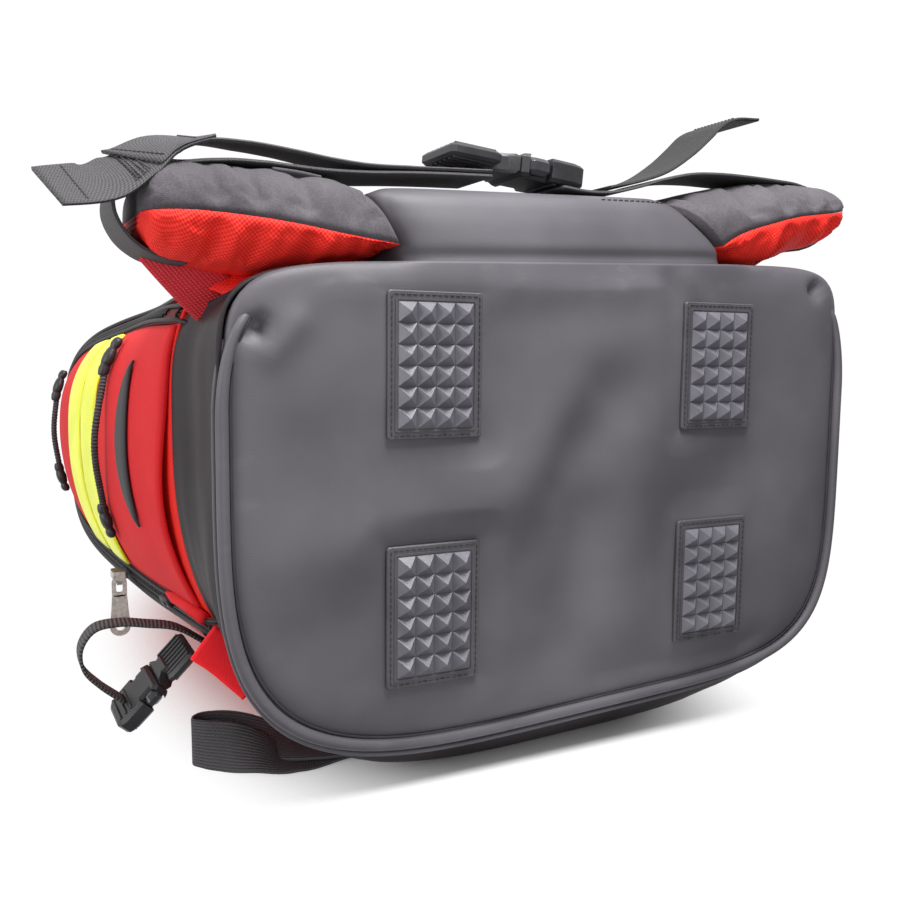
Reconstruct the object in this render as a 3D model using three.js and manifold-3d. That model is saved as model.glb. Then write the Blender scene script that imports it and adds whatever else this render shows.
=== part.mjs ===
import * as THREE from "three";
import Module from "manifold-3d";
import { mergeVertices } from "three/addons/utils/BufferGeometryUtils.js";

// Rescue backpack lying on its front: base towards -Y, back and hip belt up, floor at z = 0
// Millimetres: x runs across the bag, y from its base to its top

const wasm = await Module();
wasm.setup();

// Driving sizes
const gap = 0.3;
const cloth = 2;
const webbing = 1.8;
const hipWebWidth = 40;
const smallWebWidth = 25;
const sideWebWidth = 14;
const ringSteps = 44;
const seat = 0.8;

const floorLevel = -5;
const bandStart = 10.5;
const bandEnd = 67;
const bandEndBack = 32;
const bandTurn = { from: 230, to: 242 };
const bodyEnd = 468;
const topRadius = 32;

const baseRing = 6;
const baseCrown = 5;
const baseSetBack = 1.3;
const baseCloth = 2.5;
const baseEdgeWidth = 28;
const pipingRadius = 4.2;
const pipingSides = 7;
const pipingSteps = 36;
const pipingTop = 245;
const pipingTilt = 0.04;
const baseInset = { side: 6.6, front: 6.6, back: 1 };

const padWidth = 50;
const padHeight = 70;
const padPlate = 2;
const padBorder = 5;
const padColumns = 4;
const padRows = 6;
const studHeight = 4.5;
const padCentreX = 88;
const padCentreZ = 60.6;
const baseCentreZ = 145;

const pocketStart = 70;
const pocketRound = 100;
const pocketReach = 320;
const pocketMiddle = 150;
const pocketHalf = 88;
const pocketInset = 15;
const pocketBulge = 5;
const pocketSwell = 60;
const pocketRows = 10;
const pocketColumns = 8;
const pocketSeam = 1;
const zipEdge = 5;
const weltEdge = -3;
const zipLift = 4;
const weltLift = 6;

const bandFrom = 190;
const bandTo = 256;

// Body sections: half width at the widest level, levels of floor side and back, tilt across,
// and how square the corners are on the left and right of the floor side and on the back
const bodySections = [
  { y: 4, half: 188.5, mid: 175, front: 22, back: 260, left: 4.1, right: 5.4, top: 5.5, tilt: 0.04 },
  { y: 11, half: 190, mid: 174, front: 14.5, back: 258.5, left: 3.9, right: 5.2, top: 5.3, tilt: 0.04 },
  { y: 20, half: 192, mid: 173, front: 2, back: 257, left: 3.5, right: 4.7, top: 5, tilt: 0.04 },
  { y: 34, half: 194.5, mid: 172, front: -6, back: 256, left: 3, right: 3.8, top: 4.8, tilt: 0.026 },
  { y: 67, half: 199, mid: 170, front: -10, back: 256, left: 2.4, right: 3, top: 4.5, tilt: 0 },
  { y: 190, half: 213, mid: 166, front: -12, back: 258, left: 2.5, right: 2.8, top: 3, tilt: 0 },
  { y: 300, half: 223, mid: 164, front: -12, back: 262, left: 2.6, right: 2.8, top: 2.6, tilt: 0 },
  { y: 400, half: 213, mid: 162, front: -11, back: 260, left: 2.6, right: 2.8, top: 2.6, tilt: 0 },
  { y: 470, half: 197, mid: 160, front: -8, back: 256, left: 2.7, right: 2.9, top: 2.7, tilt: 0 },
  { y: 510, half: 185, mid: 159, front: -4, back: 252, left: 2.7, right: 2.9, top: 2.7, tilt: 0 },
];

// Colours and finishes
const finish = (color, roughness, metalness = 0) =>
  new THREE.MeshStandardMaterial({ color, roughness, metalness });
const greyCloth = finish(0x6b686d, 0.6);
const redWeave = finish(0xd8201c, 0.75);
const redSmooth = finish(0xc93238, 0.5);
const charcoal = finish(0x5a565c, 0.8);
const blackWeb = finish(0x1d1c1e, 0.75);
const redWeb = finish(0xb5122a, 0.7);
const blackPlastic = finish(0x2a292b, 0.45);
const studRubber = finish(0x5b5a60, 0.55);
const yellowBand = finish(0xf2f03c, 0.45);
const zipMetal = finish(0xc9c2bd, 0.35, 0.9);

const bag = new THREE.Group();

function add(name, geometry, material, parent = bag) {
  const mesh = new THREE.Mesh(geometry, material);
  mesh.name = name;
  parent.add(mesh);
  return mesh;
}

// Columns of a table at a place along it, on a smooth curve through its rows
function rowAt(table, key, place) {
  const after = table.findIndex((row) => row[key] > place);
  const last = table.length - 1;
  const i = after < 0 ? last - 1 : Math.max(after - 1, 0);
  const step = table[i + 1][key] - table[i][key];
  const s = (place - table[i][key]) / step;
  const slope = (k, column) => {
    const a = table[Math.max(k - 1, 0)];
    const b = table[Math.min(k + 1, last)];
    return (b[column] - a[column]) / (b[key] - a[key]);
  };
  const row = {};
  for (const column of Object.keys(table[0])) {
    const rise = table[i + 1][column] - table[i][column];
    const into = step * slope(i, column);
    const out = step * slope(i + 1, column);
    const bend = (into + out - 2 * rise) * s + 3 * rise - 2 * into - out;
    row[column] = table[i][column] + (into + bend * s) * s;
  }
  return row;
}

// A closed skin: rows of points joined by strips of triangles
class Skin {
  constructor() {
    this.places = [];
    this.faces = [];
  }

  row(points) {
    const first = this.places.length;
    this.places.push(...points);
    return points.map((_, i) => first + i);
  }

  strip(a, b, closed = true) {
    const count = closed ? a.length : a.length - 1;
    for (let i = 0; i < count; i += 1) {
      const j = (i + 1) % a.length;
      this.faces.push(a[i], a[j], b[j], a[i], b[j], b[i]);
    }
  }

  fan(row, turned = false) {
    const middle = new THREE.Vector3();
    row.forEach((i) => middle.add(this.places[i]));
    const [hub] = this.row([middle.divideScalar(row.length)]);
    row.forEach((a, i) => {
      const b = row[(i + 1) % row.length];
      this.faces.push(...(turned ? [b, a, hub] : [a, b, hub]));
    });
  }

  // Faces are turned so that the enclosed volume is positive
  geometry() {
    let volume = 0;
    for (let i = 0; i < this.faces.length; i += 3) {
      const [a, b, c] = [0, 1, 2].map((k) => this.places[this.faces[i + k]]);
      volume += a.dot(new THREE.Vector3().crossVectors(b, c));
    }
    const order = volume < 0 ? [0, 2, 1] : [0, 1, 2];
    const index = this.faces.map((_, i) => this.faces[i - (i % 3) + order[i % 3]]);
    const geometry = new THREE.BufferGeometry();
    geometry.setFromPoints(this.places);
    geometry.setIndex(index);
    geometry.computeVertexNormals();
    return geometry;
  }
}

// Solid through closed rings, capped at both ends
function loft(rings) {
  const skin = new Skin();
  const rows = rings.map((ring) => skin.row(ring));
  rows.slice(1).forEach((row, i) => skin.strip(rows[i], row));
  skin.fan(rows[0], true);
  skin.fan(rows[rows.length - 1]);
  return skin.geometry();
}

// Wall between two sets of rings: open at both ends, or closed at the far end as a cup
function shell(outerRings, innerRings, cup = false) {
  const skin = new Skin();
  const outer = outerRings.map((ring) => skin.row(ring));
  const inner = innerRings.map((ring) => skin.row(ring));
  const last = outer.length - 1;
  for (let i = 0; i < last; i += 1) {
    skin.strip(outer[i], outer[i + 1]);
    skin.strip(inner[i + 1], inner[i]);
  }
  skin.strip(inner[0], outer[0]);
  if (cup) {
    skin.fan(outer[last]);
    skin.fan(inner[last], true);
  } else {
    skin.strip(outer[last], inner[last]);
  }
  return skin.geometry();
}

// Slab between two grids of points
function slab(outerGrid, innerGrid) {
  const skin = new Skin();
  const outer = outerGrid.map((line) => skin.row(line));
  const inner = innerGrid.map((line) => skin.row(line));
  const last = outer.length - 1;
  const column = (grid, i) => grid.map((line) => line.at(i));
  for (let i = 0; i < last; i += 1) {
    skin.strip(outer[i], outer[i + 1], false);
    skin.strip(inner[i + 1], inner[i], false);
  }
  skin.strip(inner[0], outer[0], false);
  skin.strip(outer[last], inner[last], false);
  skin.strip(column(outer, 0), column(inner, 0), false);
  skin.strip(column(inner, -1), column(outer, -1), false);
  return skin.geometry();
}

const steps = (from, to, count) =>
  Array.from({ length: count + 1 }, (_, i) => from + ((to - from) * i) / count);

// Outline across the bag at height y, drawn in by an inset on each side and flat on the floor
const noInset = { side: 0, front: 0, back: 0 };
const evenInset = (depth) => ({ side: depth, front: depth, back: depth });
const floorPower = (section, side) => (side < 0 ? section.left : section.right);

function bodyRing(y, inset = noInset, yOut = y) {
  const s = rowAt(bodySections, "y", y);
  const half = s.half - inset.side;
  const reach = { down: s.mid - s.front - inset.front, up: s.back - s.mid - inset.back };
  const level = (z) => Math.max(z, floorLevel + inset.front);
  const points = steps(0, 2 * Math.PI, 96).slice(0, -1).map((angle) => {
    const [c, v] = [Math.cos(angle), Math.sin(angle)];
    const power = v < 0 ? floorPower(s, c) : s.top;
    const rise = Math.sign(v) * Math.abs(v) ** (2 / power) * (v < 0 ? reach.down : reach.up);
    const x = half * Math.sign(c) * Math.abs(c) ** (2 / power);
    return new THREE.Vector3(x, yOut, level(s.mid + rise + s.tilt * x));
  });
  const curve = new THREE.CatmullRomCurve3(points, true);
  curve.arcLengthDivisions = 480;
  return curve.getSpacedPoints(ringSteps).slice(0, -1).map((p) => p.setZ(level(p.z)));
}

// Point on the side wall at height y and level z, lifted along its outward direction
function sidePoint(side, y, z, lift = 0) {
  const s = rowAt(bodySections, "y", y);
  const mid = s.mid + s.tilt * side * s.half;
  const down = z < mid;
  const power = down ? floorPower(s, side) : s.top;
  const reach = down ? s.mid - s.front : s.back - s.mid;
  const t = Math.abs(z - mid) / reach;
  const x = (1 - t ** power) ** (1 / power);
  const steep = (t ** (power - 1) / reach) * (down ? -1 : 1);
  const out = new THREE.Vector3(x ** (power - 1) / s.half, 0, steep).setLength(lift);
  return new THREE.Vector3(side * (s.half * x + out.x), y, z + out.z);
}

// Point on the back at height y and place x, lifted straight up
function backPoint(x, y, lift) {
  const s = rowAt(bodySections, "y", y);
  const t = Math.abs(x) / s.half;
  const rise = (s.back - s.mid) * (1 - t ** s.top) ** (1 / s.top);
  return new THREE.Vector3(x, y, s.mid + rise + s.tilt * x + lift);
}

// Flat band along a table of points: width lies along an axis, leaned about the run by degrees
function ribbon(rows, width, thickness, axis = new THREE.Vector3(0, 1, 0), perRow = 3) {
  const curve = new THREE.CatmullRomCurve3(rows.map((r) => new THREE.Vector3(r.x, r.y, r.z)));
  const count = (rows.length - 1) * perRow;
  const rings = steps(0, 1, count).map((u) => {
    const place = u * (rows.length - 1);
    const i = Math.min(Math.floor(place), rows.length - 2);
    const lean = THREE.MathUtils.lerp(rows[i].lean ?? 0, rows[i + 1].lean ?? 0, place - i);
    const run = curve.getTangent(u);
    const across = axis.clone().addScaledVector(run, -axis.dot(run)).normalize();
    across.applyAxisAngle(run, THREE.MathUtils.degToRad(lean)).multiplyScalar(width / 2);
    const up = new THREE.Vector3().crossVectors(run, across).setLength(thickness / 2);
    const middle = curve.getPoint(u);
    const corners = [[1, 1], [-1, 1], [-1, -1], [1, -1]];
    return corners.map(([a, b]) => middle.clone().addScaledVector(across, a).addScaledVector(up, b));
  });
  return loft(rings);
}

// Round cord through a list of points
function cord(points, radius, sides, count) {
  const curve = new THREE.CatmullRomCurve3(points);
  const frames = curve.computeFrenetFrames(count, false);
  const rings = steps(0, 1, count).map((u, k) => {
    const middle = curve.getPointAt(u);
    return steps(0, 2 * Math.PI, sides).slice(0, -1).map((angle) => middle.clone()
      .addScaledVector(frames.normals[k], radius * Math.cos(angle))
      .addScaledVector(frames.binormals[k], radius * Math.sin(angle)));
  });
  return loft(rings);
}

// Outline with round corners, centred, for plates
function roundedShape(width, height, radius) {
  const shape = new THREE.Shape();
  const [w, h] = [width / 2 - radius, height / 2 - radius];
  const corners = [[w, -h, -0.5], [w, h, 0], [-w, h, 0.5], [-w, -h, 1]];
  corners.forEach(([x, y, turn]) => {
    shape.absarc(x, y, radius, turn * Math.PI, (turn + 0.5) * Math.PI, false);
  });
  shape.closePath();
  return shape;
}

function plate(shape, depth, curveSegments = 4) {
  const geometry = new THREE.ExtrudeGeometry(shape, { depth, bevelEnabled: false, curveSegments });
  return geometry.translate(0, 0, -depth / 2);
}

// Closed geometry as a solid for joining and cutting, and back again
function toSolid(geometry) {
  const bare = geometry.clone();
  bare.deleteAttribute("normal");
  bare.deleteAttribute("uv");
  const merged = mergeVertices(bare, 1e-4);
  return new wasm.Manifold(new wasm.Mesh({
    numProp: 3,
    vertProperties: new Float32Array(merged.attributes.position.array),
    triVerts: new Uint32Array(merged.index.array),
  }));
}

function fromSolid(solid) {
  const mesh = solid.getMesh();
  const geometry = new THREE.BufferGeometry();
  geometry.setAttribute("position", new THREE.BufferAttribute(mesh.vertProperties, 3));
  geometry.setIndex(new THREE.BufferAttribute(mesh.triVerts, 1));
  geometry.computeVertexNormals();
  return geometry;
}

// Axes from a run direction and a rough width direction
function frameAt(origin, along, across) {
  const x = along.clone().normalize();
  const z = new THREE.Vector3().crossVectors(x, across).normalize();
  const y = new THREE.Vector3().crossVectors(z, x);
  return new THREE.Matrix4().makeBasis(x, y, z).setPosition(origin);
}

// Ring whose height changes round it, and the grey band's far edge: nearer to the base at the back
const unevenRing = (height, inset) =>
  Array.from({ length: ringSteps }, (_, k) => bodyRing(height(k), inset)[k]);
const bandEdge = bodyRing(bandEnd).map(({ z }) => {
  const level = THREE.MathUtils.clamp(z, bandTurn.from, bandTurn.to);
  return THREE.MathUtils.mapLinear(level, bandTurn.from, bandTurn.to, bandEnd, bandEndBack);
});

// Base: crowned coated panel, wall band and round welt
function buildBase() {
  const insets = [0, 0.2, 0.55, 1].map((share) => share * baseEdgeWidth);
  const rings = (shift) => insets.map((depth) => {
    const inset = {
      side: baseInset.side + depth,
      front: baseInset.front + depth,
      back: baseInset.back + depth,
    };
    const fall = baseCrown * Math.sin((depth / baseEdgeWidth) * (Math.PI / 2));
    return bodyRing(baseRing, inset, baseRing + baseSetBack + shift - fall);
  });
  add("base_panel", shell(rings(0), rings(baseCloth), true), greyCloth);

  const wall = (inset) => [
    bodyRing(bandStart, inset),
    unevenRing((k) => (bandStart + bandEdge[k]) / 2, inset),
    unevenRing((k) => bandEdge[k], inset),
  ];
  add("base_band", shell(wall(noInset), wall(evenInset(cloth))), greyCloth);

  const welt = bodyRing(baseRing, evenInset(1));
  const fromBack = [...welt.slice(ringSteps / 4), ...welt.slice(0, ringSteps / 4)];
  const run = fromBack.filter((p) => p.z < pipingTop + pipingTilt * p.x);
  add("base_piping", cord(run, pipingRadius, pipingSides, pipingSteps), greyCloth);
}

// Stud pad: plate with a sewn border and rows of pyramids, facing -Y
function studPad() {
  const skin = new Skin();
  const lines = (size, count) => {
    const inner = size / 2 - padBorder;
    return [-size / 2, ...steps(-inner, inner, count), size / 2];
  };
  const xs = lines(padWidth, padColumns);
  const zs = lines(padHeight, padRows);
  const grid = zs.map((z) => skin.row(xs.map((x) => new THREE.Vector3(x, -padPlate, z))));
  for (let r = 0; r < zs.length - 1; r += 1) {
    for (let c = 0; c < xs.length - 1; c += 1) {
      const cell = [grid[r][c], grid[r][c + 1], grid[r + 1][c + 1], grid[r + 1][c]];
      const stud = r > 0 && r <= padRows && c > 0 && c <= padColumns;
      if (stud) {
        const tip = [(xs[c] + xs[c + 1]) / 2, -padPlate - studHeight, (zs[r] + zs[r + 1]) / 2];
        const [apex] = skin.row([new THREE.Vector3(...tip)]);
        cell.forEach((a, i) => skin.faces.push(a, cell[(i + 1) % 4], apex));
      } else {
        skin.faces.push(cell[0], cell[1], cell[2], cell[0], cell[2], cell[3]);
      }
    }
  }
  const top = grid.length - 1;
  const right = xs.length - 1;
  const rim = [
    ...grid[0].slice(0, right),
    ...grid.slice(0, top).map((line) => line[right]),
    ...grid[top].slice(1).reverse(),
    ...grid.slice(1).map((line) => line[0]).reverse(),
  ];
  const back = skin.row(rim.map((i) => skin.places[i].clone().setY(0)));
  skin.strip(back, rim);
  skin.fan(back, true);
  return skin.geometry();
}

function buildPads() {
  const places = [[-1, 1], [1, 1], [-1, -1], [1, -1]];
  places.forEach(([sx, sz], i) => {
    const pad = add(`foot_pad_${i + 1}`, studPad(), studRubber);
    const face = baseRing + baseSetBack - baseCrown - gap;
    pad.position.set(sx * padCentreX, face, baseCentreZ + sz * padCentreZ);
  });
}

// Body: open red tube and the rounded end that closes it
function buildBody() {
  const heights = [92, 130, 200, 265, 330, 400, bodyEnd];
  const wall = (inset) => [
    unevenRing((k) => bandEdge[k] + gap, inset),
    ...heights.map((y) => bodyRing(y, inset)),
  ];
  add("body_wall", shell(wall(noInset), wall(evenInset(cloth))), redWeave);

  const turns = steps(0, 1, 3);
  const end = (radius, inset) => turns.map((t) => {
    const angle = (t * Math.PI) / 2;
    const depth = inset + radius * (1 - Math.cos(angle));
    return bodyRing(bodyEnd + gap, evenInset(depth), bodyEnd + gap + radius * Math.sin(angle));
  });
  add("top_panel", shell(end(topRadius, 0), end(topRadius - cloth, cloth), true), redWeave);
}

// Back: padded panel, and the grey cushion that carries the hip belt
const backPanel = { half: 132, from: 98, to: 440, thickness: 12, edge: 3 };
const lumbar = { left: -101, right: 101, near: 3, far: 92, taperLeft: -15, taperRight: 31, rise: 0.045 };
const lumbarLevels = [
  { z: 250, inset: 1, taper: 0 },
  { z: 266, inset: 0, taper: 0.1 },
  { z: 282, inset: 0, taper: 0.6 },
  { z: 292, inset: 3, taper: 0.95 },
  { z: 295, inset: 10, taper: 1 },
];

function buildBack() {
  const xs = steps(-backPanel.half, backPanel.half, 10);
  const ys = steps(backPanel.from, backPanel.to, 8);
  const crown = (x, y) => {
    const across = 1 - (x / backPanel.half) ** 6;
    const along = 1 - (((y - backPanel.from) / (backPanel.to - backPanel.from)) * 2 - 1) ** 10;
    return gap + backPanel.edge + (backPanel.thickness - backPanel.edge) * Math.min(across, along);
  };
  const grid = (lift) => ys.map((y) => xs.map((x) => backPoint(x, y, lift(x, y))));
  add("back_panel", slab(grid(crown), grid(() => seat)), charcoal);

  const rings = lumbarLevels.map(({ z, inset, taper }, level) => {
    const left = lumbar.left + lumbar.taperLeft * taper + inset;
    const right = lumbar.right - lumbar.taperRight * taper - inset;
    const [near, far] = [lumbar.near + inset, lumbar.far - inset];
    const power = 2 / 7;
    return steps(0, 2 * Math.PI, 28).slice(0, -1).map((angle) => {
      const [c, s] = [Math.cos(angle), Math.sin(angle)];
      const x = (left + right) / 2 + ((right - left) / 2) * Math.sign(c) * Math.abs(c) ** power;
      const y = (near + far) / 2 + ((far - near) / 2) * Math.sign(s) * Math.abs(s) ** power;
      return level === 0 ? backPoint(x, y, 2 * seat) : new THREE.Vector3(x, y, z + lumbar.rise * x);
    });
  });
  add("lumbar_pad", loft(rings), greyCloth);
}

// Shoulder straps: padded band over the back and webbing down to the body, on both sides
const shoulderPad = { width: 62, thickness: 12 };
const shoulderEnd = { x: 140, y: 160, z: 277 };
const shoulderRows = [
  { x: 72, y: 464, z: backPoint(72, 464, shoulderPad.thickness / 2 + gap).z },
  { x: 78, y: 440, z: 282 },
  { x: 96, y: 360, z: 307 },
  { x: 114, y: 280, z: 310 },
  { x: 130, y: 210, z: 297 },
  shoulderEnd,
];
const shoulderWebRows = [
  { x: shoulderEnd.x + 0.2, y: shoulderEnd.y - 0.7, z: shoulderEnd.z - gap },
  { x: 146, y: 138, z: 265 },
  { x: 150, y: 118, z: backPoint(137, 118, 2.4).z },
  { x: 151, y: 104, z: backPoint(138, 104, 1.25).z },
];

function buildShoulderStraps() {
  const axis = new THREE.Vector3(1, 0, 0);
  [["left", -1], ["right", 1]].forEach(([name, side]) => {
    const turned = (rows) => rows.map((row) => ({ ...row, x: side * row.x }));
    const pad = ribbon(turned(shoulderRows), shoulderPad.width, shoulderPad.thickness, axis);
    add(`shoulder_strap_${name}`, pad, charcoal);
    const web = ribbon(turned(shoulderWebRows), smallWebWidth, webbing, axis);
    add(`shoulder_web_${name}`, web, blackWeb);
  });
}

// Hip wings: sections outward from the lumbar pad, each with its underside, seam and top
const wingLeft = [
  { out: 103.4, low: 261.4, seam: 262.4, top: 285, near: 8, far: 92 },
  { out: 130, low: 257, seam: 265.5, top: 291, near: 8, far: 93 },
  { out: 152, low: 252, seam: 268.5, top: 293.5, near: 8, far: 94 },
  { out: 172, low: 250, seam: 270.5, top: 294, near: 9, far: 95 },
  { out: 196, low: 253, seam: 271.8, top: 294, near: 11, far: 93 },
  { out: 208, low: 256, seam: 271.5, top: 291.5, near: 14, far: 89 },
  { out: 217, low: 262, seam: 271, top: 283, near: 21, far: 80 },
];
const wingRight = [
  { out: 99, low: 270, seam: 273, top: 298, near: 8, far: 92 },
  { out: 115, low: 265.6, seam: 281, top: 305, near: 8, far: 93 },
  { out: 131, low: 265, seam: 287, top: 311, near: 8, far: 94 },
  { out: 153, low: 271, seam: 293, top: 314.5, near: 10, far: 95 },
  { out: 178, low: 280, seam: 297, top: 315, near: 12, far: 93 },
  { out: 193, low: 284, seam: 299, top: 314, near: 14, far: 90 },
  { out: 205, low: 291, seam: 301, top: 309, near: 22, far: 80 },
];
const wingPower = 2.6;
const wingRoot = { left: { slope: -0.52, level: 262 }, right: { slope: -1, level: 270 }, fade: 45 };

function wingHalf(table, side, root, upper) {
  const stations = steps(table[0].out, table.at(-1).out, 8);
  const rings = stations.map((out) => {
    const row = rowAt(table, "out", out);
    const seam = row.seam + (upper ? gap / 2 : -gap / 2);
    const height = upper ? row.top - seam : Math.min(row.low - seam, -0.2);
    const [middle, half] = [(row.near + row.far) / 2, (row.far - row.near) / 2];
    return steps(0, Math.PI, 10).map((angle) => {
      const c = Math.cos(angle);
      const y = middle - half * Math.sign(c) * Math.abs(c) ** (2 / wingPower);
      const z = seam + height * Math.sin(angle) ** (2 / wingPower);
      const lean = Math.max(1 - (out - table[0].out) / wingRoot.fade, 0) ** 2;
      return new THREE.Vector3(side * out + root.slope * (z - root.level) * lean, y, z);
    });
  });
  return loft(rings);
}

function buildWings() {
  [["left", -1, wingLeft], ["right", 1, wingRight]].forEach(([name, side, table]) => {
    add(`hip_wing_${name}_upper`, wingHalf(table, side, wingRoot[name], true), charcoal);
    add(`hip_wing_${name}_lower`, wingHalf(table, side, wingRoot[name], false), redWeave);
  });
}

// Hip webbing: straps from the wing tips to the buckle, and their free ends
const hipStrapLeft = [
  { x: -197, y: 54, z: 251.3 },
  { x: -206, y: 54, z: 252.9 },
  { x: -215.5, y: 54, z: 256.6 },
  { x: -223.5, y: 53, z: 263.5 },
  { x: -228, y: 52, z: 273 },
  { x: -227, y: 51, z: 282.5 },
  { x: -219.5, y: 50, z: 289.6, lean: 8 },
  { x: -208, y: 49, z: 295.3, lean: 16 },
  { x: -196, y: 48, z: 298, lean: 10 },
  { x: -178, y: 47, z: 298.4, lean: 4 },
  { x: -160, y: 46, z: 297.4 },
  { x: -134, y: 46, z: 296.6 },
  { x: -112, y: 46, z: 297.4 },
  { x: -90, y: 46, z: 299.2 },
  { x: -68, y: 46, z: 300.6 },
  { x: -44, y: 46, z: 301.8 },
];
const hipTailLeft = [
  { x: -44, y: 46, z: 304.2 },
  { x: -68, y: 46, z: 303 },
  { x: -92, y: 46, z: 301.8 },
  { x: -112, y: 46, z: 302, lean: -3 },
  { x: -130, y: 46, z: 303.6, lean: -5 },
  { x: -150, y: 46, z: 306, lean: -6 },
  { x: -169, y: 46, z: 307.4, lean: -6 },
  { x: -188, y: 46, z: 307.4, lean: -8 },
  { x: -207, y: 45, z: 302.5, lean: -19 },
  { x: -221, y: 38, z: 292.5, lean: -29 },
  { x: -234, y: 32, z: 284, lean: -33 },
  { x: -255, y: 28.5, z: 279.2, lean: -31 },
];
const hipStrapRight = [
  { x: 0, y: 46, z: 300.2 },
  { x: 16, y: 46, z: 299 },
  { x: 32, y: 46, z: 300 },
  { x: 50, y: 46, z: 304.5 },
  { x: 68, y: 46, z: 310 },
  { x: 88, y: 46, z: 314.6 },
  { x: 108, y: 46, z: 316.4 },
  { x: 127, y: 46, z: 316.8 },
  { x: 153, y: 48, z: 317 },
  { x: 178, y: 54, z: 317.3 },
  { x: 197, y: 59, z: 314.8 },
  { x: 209, y: 62, z: 306.5 },
  { x: 212, y: 62, z: 296.5 },
  { x: 207.5, y: 61, z: 287.5 },
  { x: 198.5, y: 60, z: 282.2 },
  { x: 189, y: 60, z: 279.2 },
];
const hipTailRight = [
  { x: 30, y: 46, z: 302.4 },
  { x: 50, y: 46, z: 307.4 },
  { x: 70, y: 46, z: 314.6 },
  { x: 88, y: 46, z: 326 },
  { x: 100, y: 46, z: 336 },
  { x: 109, y: 46, z: 344 },
  { x: 119, y: 46, z: 348.6 },
  { x: 136, y: 46, z: 350.4 },
];
const keeperRows = [
  { x: -159, y: 46, z: 294.8 },
  { x: -147, y: 46, z: 294.3 },
  { x: -136, y: 46, z: 293 },
];

function buildHipWebbing() {
  add("hip_strap_left", ribbon(hipStrapLeft, hipWebWidth, webbing), blackWeb);
  add("hip_tail_left", ribbon(hipTailLeft, hipWebWidth, webbing), blackWeb);
  add("hip_strap_right", ribbon(hipStrapRight, hipWebWidth, webbing), blackWeb);
  add("hip_tail_right", ribbon(hipTailRight, hipWebWidth, webbing), blackWeb);
  add("strap_keeper", ribbon(keeperRows, hipWebWidth, webbing), charcoal);
}

// Side-release buckle, fastened: prong half with its end bar, socket half with side windows
function buckleParts({ length, width, thickness, split }) {
  const bar = length * 0.07;
  const slot = length * 0.1;
  const slotShape = (centre) => {
    const hole = new THREE.Path();
    const [w, h] = [slot / 2, width * 0.39];
    hole.moveTo(centre - w, -h).lineTo(centre + w, -h).lineTo(centre + w, h).lineTo(centre - w, h);
    hole.closePath();
    return hole;
  };
  const [start, seam, end] = [-length / 2, -length / 2 + length * split, length / 2];
  const half = width / 2;
  const prong = new THREE.Shape();
  prong.moveTo(start, -half).lineTo(start + 2 * bar + slot, -half).lineTo(seam - gap, -half * 0.86);
  prong.lineTo(seam - gap, half * 0.86).lineTo(start + 2 * bar + slot, half).lineTo(start, half);
  prong.closePath();
  prong.holes.push(slotShape(start + bar + slot / 2));
  const socket = new THREE.Shape();
  const window = length * 0.16;
  socket.moveTo(seam, -half * 0.86).lineTo(seam + bar, -half).lineTo(seam + bar, -half * 0.8);
  socket.lineTo(seam + bar + window, -half * 0.8).lineTo(seam + bar + window, -half);
  socket.lineTo(end - bar, -half * 0.94).lineTo(end, -half * 0.82).lineTo(end, half * 0.82);
  socket.lineTo(end - bar, half * 0.94).lineTo(seam + bar + window, half);
  socket.lineTo(seam + bar + window, half * 0.8).lineTo(seam + bar, half * 0.8);
  socket.lineTo(seam + bar, half).lineTo(seam, half * 0.86);
  socket.closePath();
  socket.holes.push(slotShape(end - bar - slot / 2));
  return [plate(prong, thickness * 0.8), plate(socket, thickness)];
}

function placed(mesh, matrix) {
  mesh.position.setFromMatrixPosition(matrix);
  mesh.setRotationFromMatrix(matrix);
  return mesh;
}

const hipBuckle = {
  centre: new THREE.Vector3(-25.5, 46, 310),
  along: new THREE.Vector3(83, 0, -7.4),
  length: 83,
  width: 40,
  thickness: 12,
  split: 0.5,
};
const sideBuckle = {
  centre: new THREE.Vector3(-206, 94, 38),
  along: new THREE.Vector3(-32, 3, -34),
  across: new THREE.Vector3(-0.12, 0.98, 0.08),
  length: 52,
  width: 28,
  thickness: 10,
  split: 0.45,
};

function buildBuckles() {
  const level = new THREE.Vector3(0, 1, 0);
  const hip = frameAt(hipBuckle.centre, hipBuckle.along, level);
  const low = frameAt(sideBuckle.centre, sideBuckle.along, sideBuckle.across);
  [["hip", hipBuckle, hip], ["side", sideBuckle, low]].forEach(([name, size, matrix]) => {
    const [prong, socket] = buckleParts(size);
    placed(add(`${name}_buckle_prong`, prong, blackPlastic), matrix);
    placed(add(`${name}_buckle_socket`, socket, blackPlastic), matrix);
  });
}

// Side pocket outline: level of its edge at height y, drawn in by an inset
const pocketEdge = (y, inset) => {
  const t = Math.max(y - pocketRound, 0) / (pocketReach - inset);
  return (pocketHalf - inset) * Math.sqrt(Math.max(1 - t * t, 0));
};

// Lift of the pocket's outer face over the body wall
function pocketLift(y, z) {
  const edge = pocketEdge(y, pocketInset);
  const across = 1 - Math.min(Math.abs(z - pocketMiddle) / Math.max(edge, 1), 1) ** 2;
  const along = Math.min((y - pocketStart) / pocketSwell, 1);
  return seat + cloth + pocketBulge * across * Math.sqrt(Math.max(along, 0));
}

const pocketPoint = (side, y, z, lift) => sidePoint(side, y, z, pocketLift(y, z) + lift);

// Strip along the pocket's edge between two insets and two lifts: turns go from 0 to 1 round its end
function edgeStrip(side, insets, lifts, turns) {
  const line = (turn, lift) => insets.map((inset) => {
    const angle = (THREE.MathUtils.clamp(turn, 0, 1) - 0.5) * Math.PI;
    const straight = turn < 0 || turn > 1;
    const y = straight ? pocketStart : pocketRound + (pocketReach - inset) * Math.cos(angle);
    return sidePoint(side, y, pocketMiddle + (pocketHalf - inset) * Math.sin(angle), lift);
  });
  return slab(turns.map((t) => line(t, lifts[1])), turns.map((t) => line(t, lifts[0])));
}

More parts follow.
